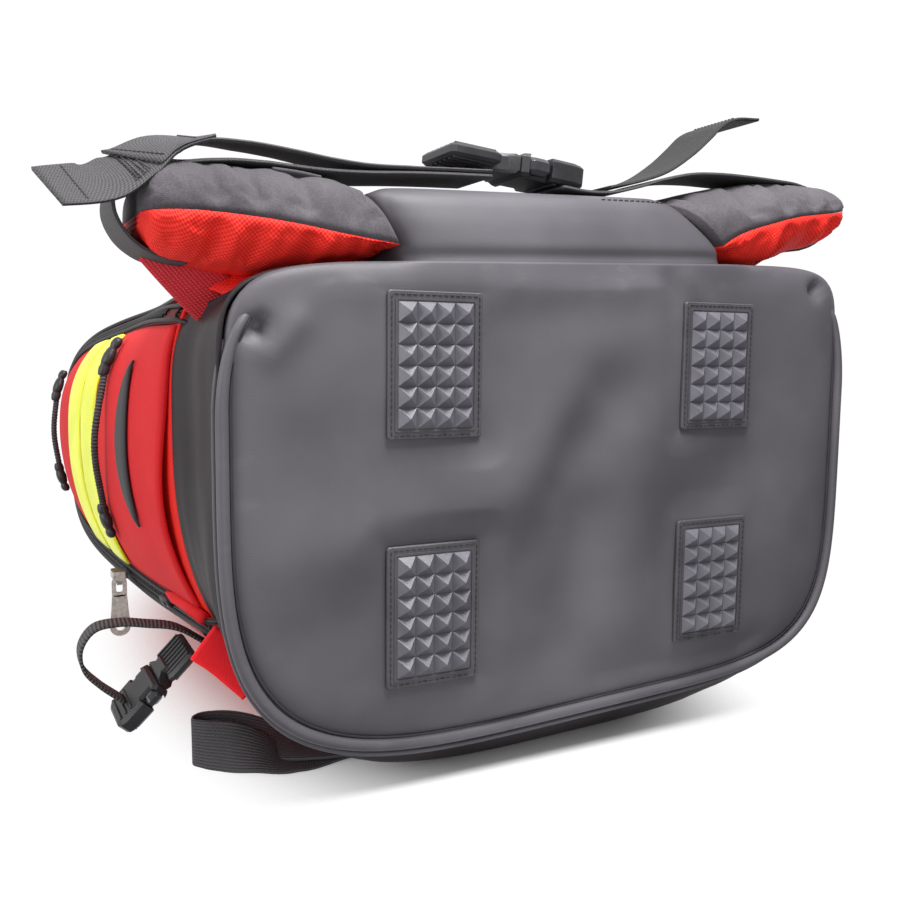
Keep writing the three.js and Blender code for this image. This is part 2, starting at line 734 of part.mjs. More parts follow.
function buildPockets() {
  [["left", -1], ["right", 1]].forEach(([name, side]) => {
    const inner = pocketReach - pocketInset;
    const ys = steps(0, Math.PI / 2 - 0.12, pocketRows).map((angle) =>
      pocketStart + (pocketRound + inner - pocketStart) * Math.sin(angle));
    const grid = (lift) => ys.map((y) => {
      const edge = pocketEdge(y, pocketInset);
      return steps(-edge, edge, pocketColumns).map((dz) =>
        sidePoint(side, y, pocketMiddle + dz, lift(y, pocketMiddle + dz)));
    });
    const inside = (y, z) => pocketLift(y, z) - cloth;
    add(`side_pocket_${name}`, slab(grid(pocketLift), grid(inside)), redSmooth);

    const turns = [-1, ...steps(0, 1, 22), 2];
    const zip = edgeStrip(side, [pocketInset - pocketSeam, zipEdge], [seat, zipLift], turns);
    add(`pocket_zip_${name}`, zip, blackWeb);
    const welt = edgeStrip(side, [zipEdge - pocketSeam, weltEdge], [seat + 2 * gap, weltLift], turns);
    add(`pocket_piping_${name}`, welt, blackPlastic);

    const band = (lift) => steps(bandFrom, bandTo, 3).map((y) => {
      const edge = pocketEdge(y, pocketInset) - 2;
      return steps(-edge, edge, 8).map((dz) => pocketPoint(side, y, pocketMiddle + dz, lift));
    });
    add(`reflective_band_${name}`, slab(band(seat + 1), band(seat)), yellowBand);
  });
}

// Grips on the pockets: a ribbed cord held by a clip at each end
const grips = [
  { y: [170, 166, 180], z: [199, 158, 118], bow: 3 },
  { y: [326, 328, 326], z: [178, 152, 126], bow: 0.5 },
];
const gripRadius = 2.6;
const clip = { width: 9, length: 18, height: 5 };

function buildGrips() {
  [["left", -1], ["right", 1]].forEach(([name, side]) => {
    grips.forEach(({ y, z, bow }, i) => {
      const lift = gripRadius + seat;
      const points = y.map((height, k) => pocketPoint(side, height, z[k], lift + (k === 1 ? bow : 0)));
      add(`grip_cord_${name}_${i + 1}`, cord(points, gripRadius, 6, 8), blackWeb);
      [0, 2].forEach((k, end) => {
        const outward = k === 0 ? 1 : -1;
        const near = z[k] + outward * seat;
        const far = near + outward * clip.length;
        const face = (top) => steps(near, far, 2).map((level) =>
          steps(y[k] - clip.width / 2, y[k] + clip.width / 2, 1).map((height) =>
            pocketPoint(side, height, level, top)));
        const label = `grip_clip_${name}_${i + 1}${"ab"[end]}`;
        add(label, slab(face(seat + clip.height), face(seat)), blackPlastic);
      });
    });
  });
}

// Bare lens-shaped patch on the left pocket
const patch = { y: 118, bow: 12, halfWidth: 9, from: 118, to: 205, height: 1.2 };

function buildPatch() {
  const face = (lift) => steps(-1, 1, 10).map((t) => {
    const z = (patch.from + patch.to) / 2 + ((patch.to - patch.from) / 2) * t;
    const swell = 1 - t * t;
    const half = Math.max(patch.halfWidth * swell, 1);
    return steps(-half, half, 2).map((dy) => pocketPoint(-1, patch.y + patch.bow * swell + dy, z, lift));
  });
  add("side_patch", slab(face(seat + patch.height), face(seat)), blackPlastic);
}

// Zip slider with a bridge, and its pull tab hanging from the bridge by a bar
const zipPlace = 204;
const zipLine = (pocketInset + zipEdge) / 2;
const slider = { x: 9, y: 13, z: 4.5 };
const bridge = { inner: 1.9, outer: 3.2, width: 3 };
const zipStop = { half: 3, height: 3, from: 0.03, to: 0.042 };
const pull = { width: 10, length: 37, thickness: 1.6, bar: 1.2, windowWidth: 5.4, windowEnd: 6.6 };

function buildZip() {
  const zip = new THREE.Group();
  const edge = pocketMiddle - pocketEdge(zipPlace, zipLine);
  const surface = sidePoint(-1, zipPlace, edge, zipLift);
  const normal = sidePoint(-1, zipPlace, edge, zipLift + 1).sub(surface);
  const reach = (slider.x * Math.abs(normal.x) + slider.z * Math.abs(normal.z)) / 2;
  zip.position.copy(surface).addScaledVector(normal, reach + seat);
  bag.add(zip);

  const body = toSolid(plate(roundedShape(slider.x, slider.y, 2), slider.z));
  const arch = new THREE.Shape();
  const pivot = -slider.z / 2 - bridge.inner;
  arch.moveTo(-bridge.outer, 0);
  arch.absarc(0, 0, bridge.outer, Math.PI, 2 * Math.PI, false);
  arch.lineTo(bridge.outer, bridge.inner + 1).lineTo(bridge.inner, bridge.inner + 1).lineTo(bridge.inner, 0);
  arch.absarc(0, 0, bridge.inner, 2 * Math.PI, Math.PI, true);
  arch.lineTo(-bridge.inner, bridge.inner + 1).lineTo(-bridge.outer, bridge.inner + 1).closePath();
  const turn = new THREE.Matrix4().makeBasis(
    new THREE.Vector3(0, 1, 0), new THREE.Vector3(0, 0, 1), new THREE.Vector3(1, 0, 0));
  const loop = toSolid(plate(arch, bridge.width, 6).applyMatrix4(turn).translate(0, 0, pivot));
  add("zip_slider", fromSolid(body.add(loop)), zipMetal, zip);

  const outline = roundedShape(pull.width, pull.length, 2.5);
  const window = new THREE.Path();
  const top = pull.length / 2 - 2 * pull.bar;
  const [w, h] = [pull.windowWidth / 2, pull.windowEnd - pull.bar];
  window.moveTo(-w, top).lineTo(w, top).lineTo(w, top - h).lineTo(-w, top - h).closePath();
  outline.holes.push(window);
  const tab = plate(outline, pull.thickness).rotateX(Math.PI / 2);
  tab.translate(0, 0, pivot + pull.bar - pull.length / 2);
  add("zip_pull", tab, zipMetal, zip);

  const stopAcross = [zipLine + zipStop.half, zipLine - zipStop.half];
  const stopLift = [zipLift + seat, zipLift + zipStop.height];
  const stop = edgeStrip(-1, stopAcross, stopLift, [zipStop.from, zipStop.to]);
  add("zip_stop", stop, blackPlastic);
}

// Small webbing loop over the side buckle
const sideStrapRows = [
  sidePoint(-1, 90, 61.5, weltLift + 2 * seat),
  { x: -195, y: 91, z: 67.2 },
  { x: -209, y: 93, z: 70 },
  { x: -223, y: 94, z: 72 },
  { x: -235, y: 95, z: 70 },
  { x: -241.5, y: 95, z: 61 },
  { x: -240.5, y: 95, z: 50 },
  { x: -233.5, y: 95, z: 41 },
  { x: -221.5, y: 94.5, z: 30.6 },
];

// Black loop on the floor: flat below and above, standing on its edge at the turn
const floorLoopRows = [
  { x: -89, y: 60, z: -3.5, lean: 90 },
  { x: -115, y: 62, z: -3.5, lean: 90 },
  { x: -143, y: 57, z: -2.8, lean: 88 },
  { x: -160, y: 60, z: 4, lean: 58 },
  { x: -174, y: 65, z: 7.6, lean: 24 },
  { x: -185, y: 71, z: 8.6, lean: 6 },
  { x: -189.5, y: 76.5, z: 8.7 },
  { x: -186, y: 82, z: 8.8, lean: -4 },
  { x: -174, y: 80, z: 8.6, lean: -18 },
  { x: -160, y: 74, z: 6.6, lean: -44 },
  { x: -146, y: 68, z: 3.2, lean: -70 },
  { x: -130, y: 63, z: -0.4, lean: -86 },
  { x: -112, y: 60, z: -1.2, lean: -90 },
  { x: -96, y: 60, z: -0.5, lean: -90 },
];

// Folded webbing tabs that stand out from the wall: place and lift of the root, reach and width
const tabs = [
  { name: "red_tab_low", y: 60, z: 62, lift: 1.4, reach: 13, width: 27 },
  { name: "red_tab_high", y: 47, z: 232, lift: 0.6, reach: 13, width: 23 },
];

// Black strap end that lies on the wall below the low tab
const wallStrap = { y: [50, 74], z: [42, 28], lift: 1.3 };

function buildSmallStraps() {
  add("side_strap", ribbon(sideStrapRows, sideWebWidth, webbing), blackWeb);
  const upright = new THREE.Vector3(0, 0, 1);
  add("floor_loop", ribbon(floorLoopRows, smallWebWidth, webbing, upright), blackWeb);
  tabs.forEach(({ name, y, z, lift, reach, width }) => {
    const rows = steps(lift, lift + reach, 2).map((out) => sidePoint(-1, y, z, out));
    const along = sidePoint(-1, y, z - 1).sub(sidePoint(-1, y, z + 1));
    add(name, ribbon(rows, width, 2 * webbing, along), redWeb);
  });
  const face = (lift) => steps(wallStrap.z[0], wallStrap.z[1], 4).map((level) =>
    steps(wallStrap.y[0], wallStrap.y[1], 2).map((y) => sidePoint(-1, y, level, lift)));
  add("tab_strap", slab(face(wallStrap.lift + webbing), face(wallStrap.lift)), blackWeb);
}

buildBase();
buildPads();
buildBody();
buildBack();
buildShoulderStraps();
buildWings();
buildHipWebbing();
buildBuckles();
buildPockets();
buildGrips();
buildPatch();
buildZip();
buildSmallStraps();

// Origin at the middle of the footprint, on the floor
const part = new THREE.Group();
part.add(bag);
bag.updateMatrixWorld(true);
const box = new THREE.Box3().setFromObject(bag, true);
bag.position.set(-(box.min.x + box.max.x) / 2, -(box.min.y + box.max.y) / 2, -box.min.z);

export default part;
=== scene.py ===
import math
from types import SimpleNamespace

import bpy
import numpy as np
from mathutils import Matrix, Vector, noise


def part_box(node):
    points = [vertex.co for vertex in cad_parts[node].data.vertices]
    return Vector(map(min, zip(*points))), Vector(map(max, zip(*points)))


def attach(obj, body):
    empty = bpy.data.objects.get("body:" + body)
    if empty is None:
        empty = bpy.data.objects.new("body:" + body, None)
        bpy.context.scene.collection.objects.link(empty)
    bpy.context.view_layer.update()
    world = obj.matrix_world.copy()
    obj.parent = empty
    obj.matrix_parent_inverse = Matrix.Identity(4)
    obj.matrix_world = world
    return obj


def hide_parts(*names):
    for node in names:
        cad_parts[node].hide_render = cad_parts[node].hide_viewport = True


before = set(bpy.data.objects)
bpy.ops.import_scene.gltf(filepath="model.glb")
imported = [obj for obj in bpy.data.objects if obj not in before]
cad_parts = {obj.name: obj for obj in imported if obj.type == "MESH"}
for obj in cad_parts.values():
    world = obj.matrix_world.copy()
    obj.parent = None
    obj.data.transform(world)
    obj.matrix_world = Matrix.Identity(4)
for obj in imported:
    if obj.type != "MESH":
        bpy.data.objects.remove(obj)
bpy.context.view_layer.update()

# Bag frame in millimetres: x across, y from the base to the top, z up from the floor side
BODY_END = 468
FLOOR_LEVEL = -5
BAG_MIDDLE = np.array([0, 250, 150])
wall_low, wall_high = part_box("body_wall")
bag_origin = np.array([
    (wall_low.x + wall_high.x) / 2,
    wall_high.y - BODY_END / 1000,
    wall_low.z - FLOOR_LEVEL / 1000,
])


def metres(points):
    return bag_origin + np.asarray(points, float) / 1000


def eased(start, rise, into, out, share):
    """Value at a share of a smooth step: its rise, and its slopes at both ends."""
    bend = (into + out - 2 * rise) * share + 3 * rise - 2 * into - out
    return start + (into + bend * share) * share


class Table:
    """Rows with named columns, read on a smooth curve along the first column."""

    def __init__(self, columns, *rows):
        names = columns.split()
        self.columns = dict(zip(names, np.array(rows, float).T))
        self.key = self.columns[names[0]]

    def at(self, place):
        key = self.key
        last = len(key) - 1
        i = np.clip(np.searchsorted(key, place, side="right") - 1, 0, last - 1)
        step = key[i + 1] - key[i]
        s = (place - key[i]) / step
        before = np.maximum(np.arange(last + 1) - 1, 0)
        after = np.minimum(np.arange(last + 1) + 1, last)
        found = {}
        for name, column in self.columns.items():
            slope = (column[after] - column[before]) / (key[after] - key[before])
            rise = column[i + 1] - column[i]
            found[name] = eased(column[i], rise, step * slope[i], step * slope[i + 1], s)
        return SimpleNamespace(**found)


# Body sections: half width, levels of floor side and back, squareness of the corners, tilt
BODY = Table(
    "y half mid front back left right top corner tilt",
    (4, 188.5, 175, 22, 260, 4.1, 5.4, 5.5, 1.7, 0.04),
    (11, 190, 174, 14.5, 258.5, 3.9, 5.2, 5.3, 1.7, 0.04),
    (20, 192, 173, 2, 257, 3.5, 4.7, 5, 1.6, 0.04),
    (34, 194.5, 172, -6, 256, 3, 3.8, 4.8, 1.3, 0.026),
    (67, 199, 170, -10, 256, 2.4, 3, 4.5, 1, 0),
    (190, 213, 166, -12, 258, 2.5, 2.8, 3, 1, 0),
    (300, 223, 164, -12, 262, 2.6, 2.8, 2.6, 1, 0),
    (400, 213, 162, -11, 260, 2.6, 2.8, 2.6, 1, 0),
    (470, 197, 160, -8, 256, 2.7, 2.9, 2.7, 1, 0),
    (510, 185, 159, -4, 252, 2.7, 2.9, 2.7, 1, 0),
)
RING_COUNT = 264
OUTLINE_STEPS = 721
CLOTH = 2
SEAT = 0.8
GAP = 0.3
LEFT_CORNER = 0.7
SIDES = (("left", -1), ("right", 1))


def distance_along(line):
    """Distance of each point of a line from its start."""
    return np.concatenate([[0], np.linalg.norm(np.diff(line, axis=0), axis=1).cumsum()])


def points_at(line, along, places):
    """Points of a line at places, where its own points lie at the distances along."""
    return np.stack([np.interp(places, along, line[:, k]) for k in range(3)], axis=-1)


def full_turn(count):
    return np.linspace(0, 2 * np.pi, count, endpoint=False)


def squared(wave, power):
    """Sine or cosine bent towards a rounded square, squarer as the power goes up from 2."""
    return np.sign(wave) * np.abs(wave) ** (2 / power)


def ring(y, inset=(0, 0, 0), count=RING_COUNT, y_out=None):
    """Outline across the bag at height y, drawn in on the sides, floor side and back."""
    s = BODY.at(y)
    side, front, back = inset
    angle = np.linspace(0, 2 * np.pi, OUTLINE_STEPS)
    c, v = np.cos(angle), np.sin(angle)
    back_power = s.top * np.where(c < 0, 1 + LEFT_CORNER * (s.corner - 1), s.corner)
    power = np.where(v < 0, np.where(c < 0, s.left, s.right), back_power)
    reach = np.where(v < 0, s.mid - s.front - front, s.back - s.mid - back)
    x = (s.half - side) * squared(c, power)
    z = np.maximum(s.mid + reach * squared(v, power) + s.tilt * x, FLOOR_LEVEL + front)
    height = np.full_like(x, y if y_out is None else y_out)
    line = np.stack([x, height, z], axis=1)
    along = distance_along(line)
    return points_at(line, along, np.linspace(0, along[-1], count, endpoint=False))


def side_point(side, y, z, lift=0.0):
    """Points on the side wall, lifted along its outward direction."""
    y, z, lift = np.broadcast_arrays(*(np.asarray(a, float) for a in (y, z, lift)))
    s = BODY.at(y)
    mid = s.mid + s.tilt * side * s.half
    down = z < mid
    power = np.where(down, s.left if side < 0 else s.right, s.top)
    reach = np.where(down, s.mid - s.front, s.back - s.mid)
    t = np.abs(z - mid) / reach
    x = np.maximum(1 - t ** power, 1e-9) ** (1 / power)
    out = np.stack([x ** (power - 1) / s.half, t ** (power - 1) / reach * np.where(down, -1, 1)])
    out = out / np.linalg.norm(out, axis=0) * lift
    return np.stack([side * (s.half * x + out[0]), y, z + out[1]], axis=-1)


def back_point(x, y, lift):
    """Points on the back, lifted straight up."""
    s = BODY.at(y)
    t = np.abs(x) / s.half
    rise = (s.back - s.mid) * (1 - t ** s.top) ** (1 / s.top)
    return np.stack(np.broadcast_arrays(x, y, s.mid + rise + s.tilt * x + lift), axis=-1)


def ripple(points, size, seed=0):
    """Smooth noise from -1 to 1 over points, with lumps of a size in millimetres."""
    flat = np.asarray(points, float).reshape(-1, 3) / size + seed
    values = [noise.noise(Vector(p)) for p in flat]
    return np.array(values).reshape(np.shape(points)[:-1])


def smooth(value, low, high):
    """0 at low, 1 at high, smooth in between."""
    share = np.clip((np.asarray(value, float) - low) / (high - low), 0, 1)
    return share * share * (3 - 2 * share)


def from_ends(count):
    """Steps of each row from the nearer of the two ends."""
    return np.minimum(np.arange(count), np.arange(count)[::-1])


def closing_rows(rim, reach, count, crown=0.0):
    """Rows from a rim towards its middle, up to a share of the way, rising by a crown."""
    hub = rim.mean(axis=0)
    rows = []
    for share in np.linspace(0, reach, count)[1:]:
        rows.append(rim + (hub - rim) * share + np.array([0, 0, crown * math.sin(share * np.pi / 2)]))
    return rows


def pushed_out(points, move):
    """Closed rows of points, each moved out of the bag by a distance."""
    across = np.roll(points, -1, axis=1) - np.roll(points, 1, axis=1)
    normals = np.cross(across, np.gradient(points, axis=0))
    normals = normals / np.maximum(np.linalg.norm(normals, axis=2, keepdims=True), 1e-9)
    outward = np.sign((normals * (points - BAG_MIDDLE)).sum(axis=2, keepdims=True))
    return points + normals * outward * move[..., None]


# Camera: place in the bag frame and turns that fit the photograph
def make_camera():
    place = (-287.9, -407.9, 212.8)
    yaw, pitch, roll = (math.radians(a) for a in (-26.98, 84.02, 0.57))
    data = bpy.data.cameras.new("camera")
    data.lens = 38
    data.sensor_width = 36
    camera = bpy.data.objects.new("camera", data)
    turn = Matrix.Rotation(yaw, 4, "Z") @ Matrix.Rotation(pitch, 4, "X") @ Matrix.Rotation(roll, 4, "Z")
    camera.matrix_world = Matrix.Translation(metres(place)) @ turn
    bpy.context.scene.collection.objects.link(camera)
    bpy.context.scene.camera = camera


# Padded pieces that swell as cloth: piece, points that stay fast, growth of the cloth
swells = []
CLOTH_FRAMES = 20
SWELL_LIMIT = 2.5


def swell_padding():
    """Let the padded pieces swell together as cloth, fast along their seams, and keep the result."""
    scene = bpy.context.scene
    for piece, sewn, growth in swells:
        piece.vertex_groups.new(name="sewn").add(np.flatnonzero(sewn).tolist(), 1.0, "REPLACE")
        cloth = piece.modifiers.new("swell", "CLOTH")
        cloth.settings.effector_weights.gravity = 0
        cloth.settings.use_pressure = True
        cloth.settings.uniform_pressure_force = 4
        cloth.settings.vertex_group_mass = "sewn"
        cloth.settings.shrink_min = -growth
        cloth.settings.bending_stiffness = 0.4
        cloth.point_cache.frame_start = 1
        cloth.point_cache.frame_end = CLOTH_FRAMES
    for step in range(1, CLOTH_FRAMES + 1):
        scene.frame_set(step)
    graph = bpy.context.evaluated_depsgraph_get()
    for piece, *_ in swells:
        rest = np.empty(3 * len(piece.data.vertices))
        moved = rest.copy()
        piece.data.vertices.foreach_get("co", rest)
        piece.evaluated_get(graph).data.vertices.foreach_get("co", moved)
        move = (moved - rest).reshape(-1, 3)
        length = np.linalg.norm(move, axis=1, keepdims=True)
        move *= np.minimum(1, SWELL_LIMIT / 1000 / np.maximum(length, 1e-9))
        piece.data.vertices.foreach_set("co", rest + move.ravel())
        piece.data.update()
    for piece, *_ in swells:
        piece.modifiers.remove(piece.modifiers["swell"])
        piece.vertex_groups.clear()
    scene.frame_set(1)


# Mesh in the making
class Form:
    """Grids and solids in bag millimetres, each with its finish, gathered into one piece."""

    def __init__(self):
        self.places = []
        self.wear = []
        self.count = 0
        self.faces = []
        self.corner_uv = []
        self.finish_index = []

    def grid(self, points, wrap=False, caps=False, finish=0, wear=0.0, inside=None):
        points = np.asarray(points, float)
        rows, columns = points.shape[:2]
        ids = self.count + np.arange(rows * columns).reshape(rows, columns)
        self.places.append(points.reshape(-1, 3))
        self.wear.append(np.broadcast_to(wear, (rows, columns)).ravel())
        self.count += rows * columns
        net = points
        if wrap:
            ids = np.hstack([ids, ids[:, :1]])
            net = np.concatenate([points, points[:, :1]], axis=1)
        u = np.linalg.norm(np.diff(net, axis=1), axis=2).cumsum(axis=1)
        u = np.hstack([np.zeros((rows, 1)), u])
        v = np.linalg.norm(np.diff(net, axis=0), axis=2).mean(axis=1).cumsum()
        v = np.broadcast_to(np.concatenate([[0], v])[:, None], u.shape)
        uv = np.stack([u - u[:, -1:] / 2, v], axis=2)
        corners = [(slice(None, -1), slice(None, -1)), (slice(None, -1), slice(1, None)),
                   (slice(1, None), slice(1, None)), (slice(1, None), slice(None, -1))]
        a, b, c, d = (net[k] for k in corners)
        middle = net.mean(axis=1)[:-1, None] if inside is None else np.asarray(inside)
        outward = np.cross(c - a, d - b) * ((a + b + c + d) / 4 - middle)
        if outward.sum() < 0:
            corners.reverse()
        self.faces += np.stack([ids[k] for k in corners], axis=2).reshape(-1, 4).tolist()
        self.corner_uv.append(np.stack([uv[k] for k in corners], axis=2).reshape(-1, 2))
        self.finish_index += [finish] * ((rows - 1) * (ids.shape[1] - 1))
        if caps:
            turned = outward.sum() < 0
            ends = ((0, not turned), (-1, turned))
            for row, flip in ends[-1:] if caps == "last" else ends:
                loop = ids[row, :columns]
                loop_uv = points[row][:, [0, 2]]
                self.faces.append(loop[::-1].tolist() if flip else loop.tolist())
                self.corner_uv.append(loop_uv[::-1] if flip else loop_uv)
                self.finish_index.append(finish)
        return self

    def slab(self, outer, inner, finish=0):
        """Closed solid between two grids."""
        return self.grid(np.concatenate([outer, inner[:, ::-1]], axis=1), True, True, finish)

    def tube(self, line, radius, sides, finish=0, wear=0.0):
        """Round bar along a line, with one radius or one for each point."""
        line = np.asarray(line, float)
        run = np.gradient(line, axis=0)
        run /= np.linalg.norm(run, axis=1, keepdims=True)
        across = np.cross(run[0], [0.3, 0.5, 0.8])
        angle = full_turn(sides)[:, None]
        radii = np.broadcast_to(radius, len(line))
        rows = []
        for place, direction, size in zip(line, run, radii):
            across = across - direction * (across @ direction)
            across /= np.linalg.norm(across)
            up = np.cross(direction, across)
            rows.append(place + size * (np.cos(angle) * across + np.sin(angle) * up))
        return self.grid(np.array(rows), True, True, finish, wear)

    def prism(self, outline, low, high, matrix, chamfer, finish=0):
        """Plate with a chamfered edge: outline in its own x and y, thickness along its z."""
        outline = np.asarray(outline, float)
        centre = (outline.min(axis=0) + outline.max(axis=0)) / 2
        half = (outline.max(axis=0) - outline.min(axis=0)) / 2
        drawn = centre + (outline - centre) * (1 - chamfer / half)
        edges = ((drawn, low), (outline, low + chamfer), (outline, high - chamfer), (drawn, high))
        self.grid(placed(stacked(edges), matrix), True, True, finish)

    def make(self, name, finishes, slot, replaces=(), thickness=0.0, bevel=0.0, smooth=True, body="bag"):
        mesh = bpy.data.meshes.new(name)
        mesh.from_pydata(metres(np.concatenate(self.places)).tolist(), [], self.faces)
        layer = mesh.uv_layers.new(name="cloth")
        layer.data.foreach_set("uv", np.concatenate(self.corner_uv).ravel())
        mark = mesh.attributes.new("wear", "FLOAT", "POINT")
        mark.data.foreach_set("value", np.concatenate(self.wear))
        mesh.polygons.foreach_set("material_index", self.finish_index)
        mesh.polygons.foreach_set("use_smooth", [smooth] * len(self.faces))
        for finish in finishes:
            mesh.materials.append(finish)
        made = bpy.data.objects.new(name, mesh)
        bpy.context.scene.collection.objects.link(made)
        if thickness:
            wall = made.modifiers.new("wall", "SOLIDIFY")
            wall.thickness = thickness / 1000
            wall.offset = -1
        if bevel:
            edge = made.modifiers.new("edge", "BEVEL")
            edge.width = bevel / 1000
            edge.segments = 3
            edge.limit_method = "ANGLE"
            edge.harden_normals = True
        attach(made, body)
        if replaces:
            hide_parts(*replaces)
        return made


def stacked(outlines):
    """Rows of points from flat outlines, each with its level."""
    return np.array([np.column_stack([shape, np.full(len(shape), level)]) for shape, level in outlines])


# Axes of a plate whose face looks out of the base
FACE_OUT = np.array([[1, 0, 0], [0, 0, 1], [0, -1, 0]])


def placed(points, matrix):
    """Points of a local frame in the bag frame: matrix holds its three axes and its origin."""
    axes, origin = matrix
    return np.asarray(points, float) @ np.array(axes) + np.asarray(origin)


def axes_from(along, across):
    """Unit axes from a run and a rough width direction."""
    x = np.array(along, float) / np.linalg.norm(along)
    z = np.cross(x, across)
    z /= np.linalg.norm(z)
    return np.array([x, np.cross(z, x), z])


def route(rows, per_row):
    """Smooth line through rows of x, y, z and lean, with its directions and leans."""
    rows = np.array([(*row, 0)[:4] for row in rows], float)
    points = rows[:, :3]
    ends = np.vstack([2 * points[0] - points[1], points, 2 * points[-1] - points[-2]])
    gaps = np.sqrt(np.linalg.norm(np.diff(ends, axis=0), axis=1))
    line, leans = [], []
    count = len(points) - 1
    for i in range(count):
        p0, p1, p2, p3 = ends[i:i + 4]
        d0, d1, d2 = gaps[i:i + 3]
        into = ((p1 - p0) / d0 - (p2 - p0) / (d0 + d1) + (p2 - p1) / d1) * d1
        out = ((p2 - p1) / d1 - (p3 - p1) / (d1 + d2) + (p3 - p2) / d2) * d1
        shares = np.linspace(0, 1, per_row, endpoint=False)
        if i == count - 1:
            shares = np.linspace(0, 1, per_row + 1)
        for t in shares:
            line.append(eased(p1, p2 - p1, into, out, t))
            leans.append(rows[i, 3] + (rows[i + 1, 3] - rows[i, 3]) * t)
    line = np.array(line)
    run = np.gradient(line, axis=0)
    run /= np.linalg.norm(run, axis=1, keepdims=True)
    return line, run, np.radians(leans)


def sweep(rows, section, axis=(0, 1, 0), per_row=6):
    """Section of across and up carried along rows: returns its grid and the frame at each step."""
    line, run, leans = route(rows, per_row)
    grid, frames = [], []
    for step, (place, direction, lean) in enumerate(zip(line, run, leans)):
        across = np.array(axis, float) - direction * (direction @ np.array(axis, float))
        across /= np.linalg.norm(across)
        up = np.cross(direction, across)
        across, up = (across * math.cos(lean) + up * math.sin(lean),
                      up * math.cos(lean) - across * math.sin(lean))
        shape = section(step / (len(line) - 1)) if callable(section) else section
        grid.append(place + shape[:, :1] * across + shape[:, 1:] * up)
        frames.append((place, direction, across, up))
    return np.array(grid), frames


def strap_section(width, thickness):
    """Flat woven strap with rounded edges."""
    w, t = width / 2, thickness / 2
    edge = [(w, 0), (w - 0.35, t * 0.8), (w - 1, t)]
    inner = [(w * share, t) for share in (0.5, 0, -0.5)]
    upper = edge + inner + [(-x, z) for x, z in reversed(edge)]
    lower = [(-x, -z) for x, z in upper[1:-1]]
    return np.array(upper + lower)


PAD_CROWN = 2.5


def pad_section(width, thickness, square=5):
    """Crowned section of a padded band."""
    angle = full_turn(32)
    across = width / 2 * squared(np.cos(angle), square)
    return np.stack([across, thickness / 2 * squared(np.sin(angle), PAD_CROWN)], axis=1)


# A stitch: shares of its length, with height and thickness in radii, and its finish in a sewn piece
STITCH_ALONG = np.array([-0.5, -0.4, 0, 0.4, 0.5])
STITCH_HEIGHT = np.array([-0.4, 0.4, 0.8, 0.4, -0.4])[:, None]
STITCH_GIRTH = np.array([0.5, 1, 1, 1, 0.5])
THREAD = 1


def stitch_row(form, line, lift, length, pitch, radius):
    """Sewn stitches along a line, each a short round thread lying on the surface."""
    lift = np.broadcast_to(np.asarray(lift, float), line.shape)
    along = distance_along(line)
    for start in np.arange(pitch / 2, along[-1] - length / 2, pitch):
        points = points_at(line, along, start + STITCH_ALONG * length)
        points = points + points_at(lift, along, start) * STITCH_HEIGHT * radius
        form.tube(points, radius * STITCH_GIRTH, 6, THREAD)


# Finishes
class Wire:
    """A socket in a material: operators add Math nodes, and node() adds any other node."""

    def __init__(self, tree, socket=None):
        self.tree = tree
        self.socket = socket

    def node(self, kind, settings=None, inputs=None, out=0):
        made = self.tree.nodes.new("ShaderNode" + kind)
        for name, value in (settings or {}).items():
            setattr(made, name, value)
        for key, value in (inputs or {}).items():
            if isinstance(value, Wire):
                self.tree.links.new(value.socket, made.inputs[key])
            else:
                made.inputs[key].default_value = value
        return Wire(self.tree, made.outputs[out])

    def other(self, out):
        return Wire(self.tree, self.socket.node.outputs[out])

    def maths(self, operation, *values):
        return self.node("Math", {"operation": operation}, dict(enumerate((self, *values))))

    def __add__(self, value):
        return self.maths("ADD", value)

    def __sub__(self, value):
        return self.maths("SUBTRACT", value)

    def __mul__(self, value):
        return self.maths("MULTIPLY", value)

    __radd__ = __add__
    __rmul__ = __mul__

    def sine(self, pitch):
        """Wave from -1 to 1 with a pitch in millimetres."""
        return (self * (2 * math.pi / pitch)).maths("SINE")

    def between(self, low, high):
        """0 below low and 1 above high, smooth in between."""
        settings = {"interpolation_type": "SMOOTHSTEP"}
        return self.node("MapRange", settings, {"Value": self, "From Min": low, "From Max": high})

    def mix(self, first, second):
        """Colour from first to second, each a screen colour or a wire, as this value goes from 0 to 1."""
        first, second = (end if isinstance(end, Wire) else colour(*end) for end in (first, second))
        return self.node("Mix", {"data_type": "RGBA"}, {0: self, 6: first, 7: second}, out=2)


def colour(red, green, blue):
    """Screen colour from 0 to 255 as the linear values that a shader takes."""
    share = np.array([red, green, blue]) / 255
    linear = np.where(share <= 0.04045, share / 12.92, ((share + 0.055) / 1.055) ** 2.4)
    return (*linear.tolist(), 1.0)


def cloth_axes(wire):
    """Place on the cloth in millimetres, across and along."""
    split = wire.node("SeparateXYZ", None, {0: wire.node("UVMap", {"uv_map": "cloth"})})
    return split, split.other(1)


def speckle(wire, size, detail=2.0, squeeze=(1, 1, 1)):
    """Noise over the object with lumps of a size in millimetres, longer where it is squeezed below 1."""
    place = wire.node("TexCoord", None, None, out="Object")
    if squeeze != (1, 1, 1):
        place = wire.node("VectorMath", {"operation": "MULTIPLY"}, {0: place, 1: squeeze})
    inputs = {"Vector": place, "Scale": 1000 / size, "Detail": detail}
    return wire.node("TexNoise", None, inputs)


def finish(name, build, **constants):
    """Material whose varying sockets come from build, with constants on the shader itself."""
    material = bpy.data.materials.new(name)
    material.use_nodes = True
    tree = material.node_tree
    shader = tree.nodes["Principled BSDF"]
    for key, value in constants.items():
        shader.inputs[key.replace("_", " ")].default_value = value
    for key, value in build(Wire(tree)).items():
        tree.links.new(value.socket, shader.inputs[key])
    return material


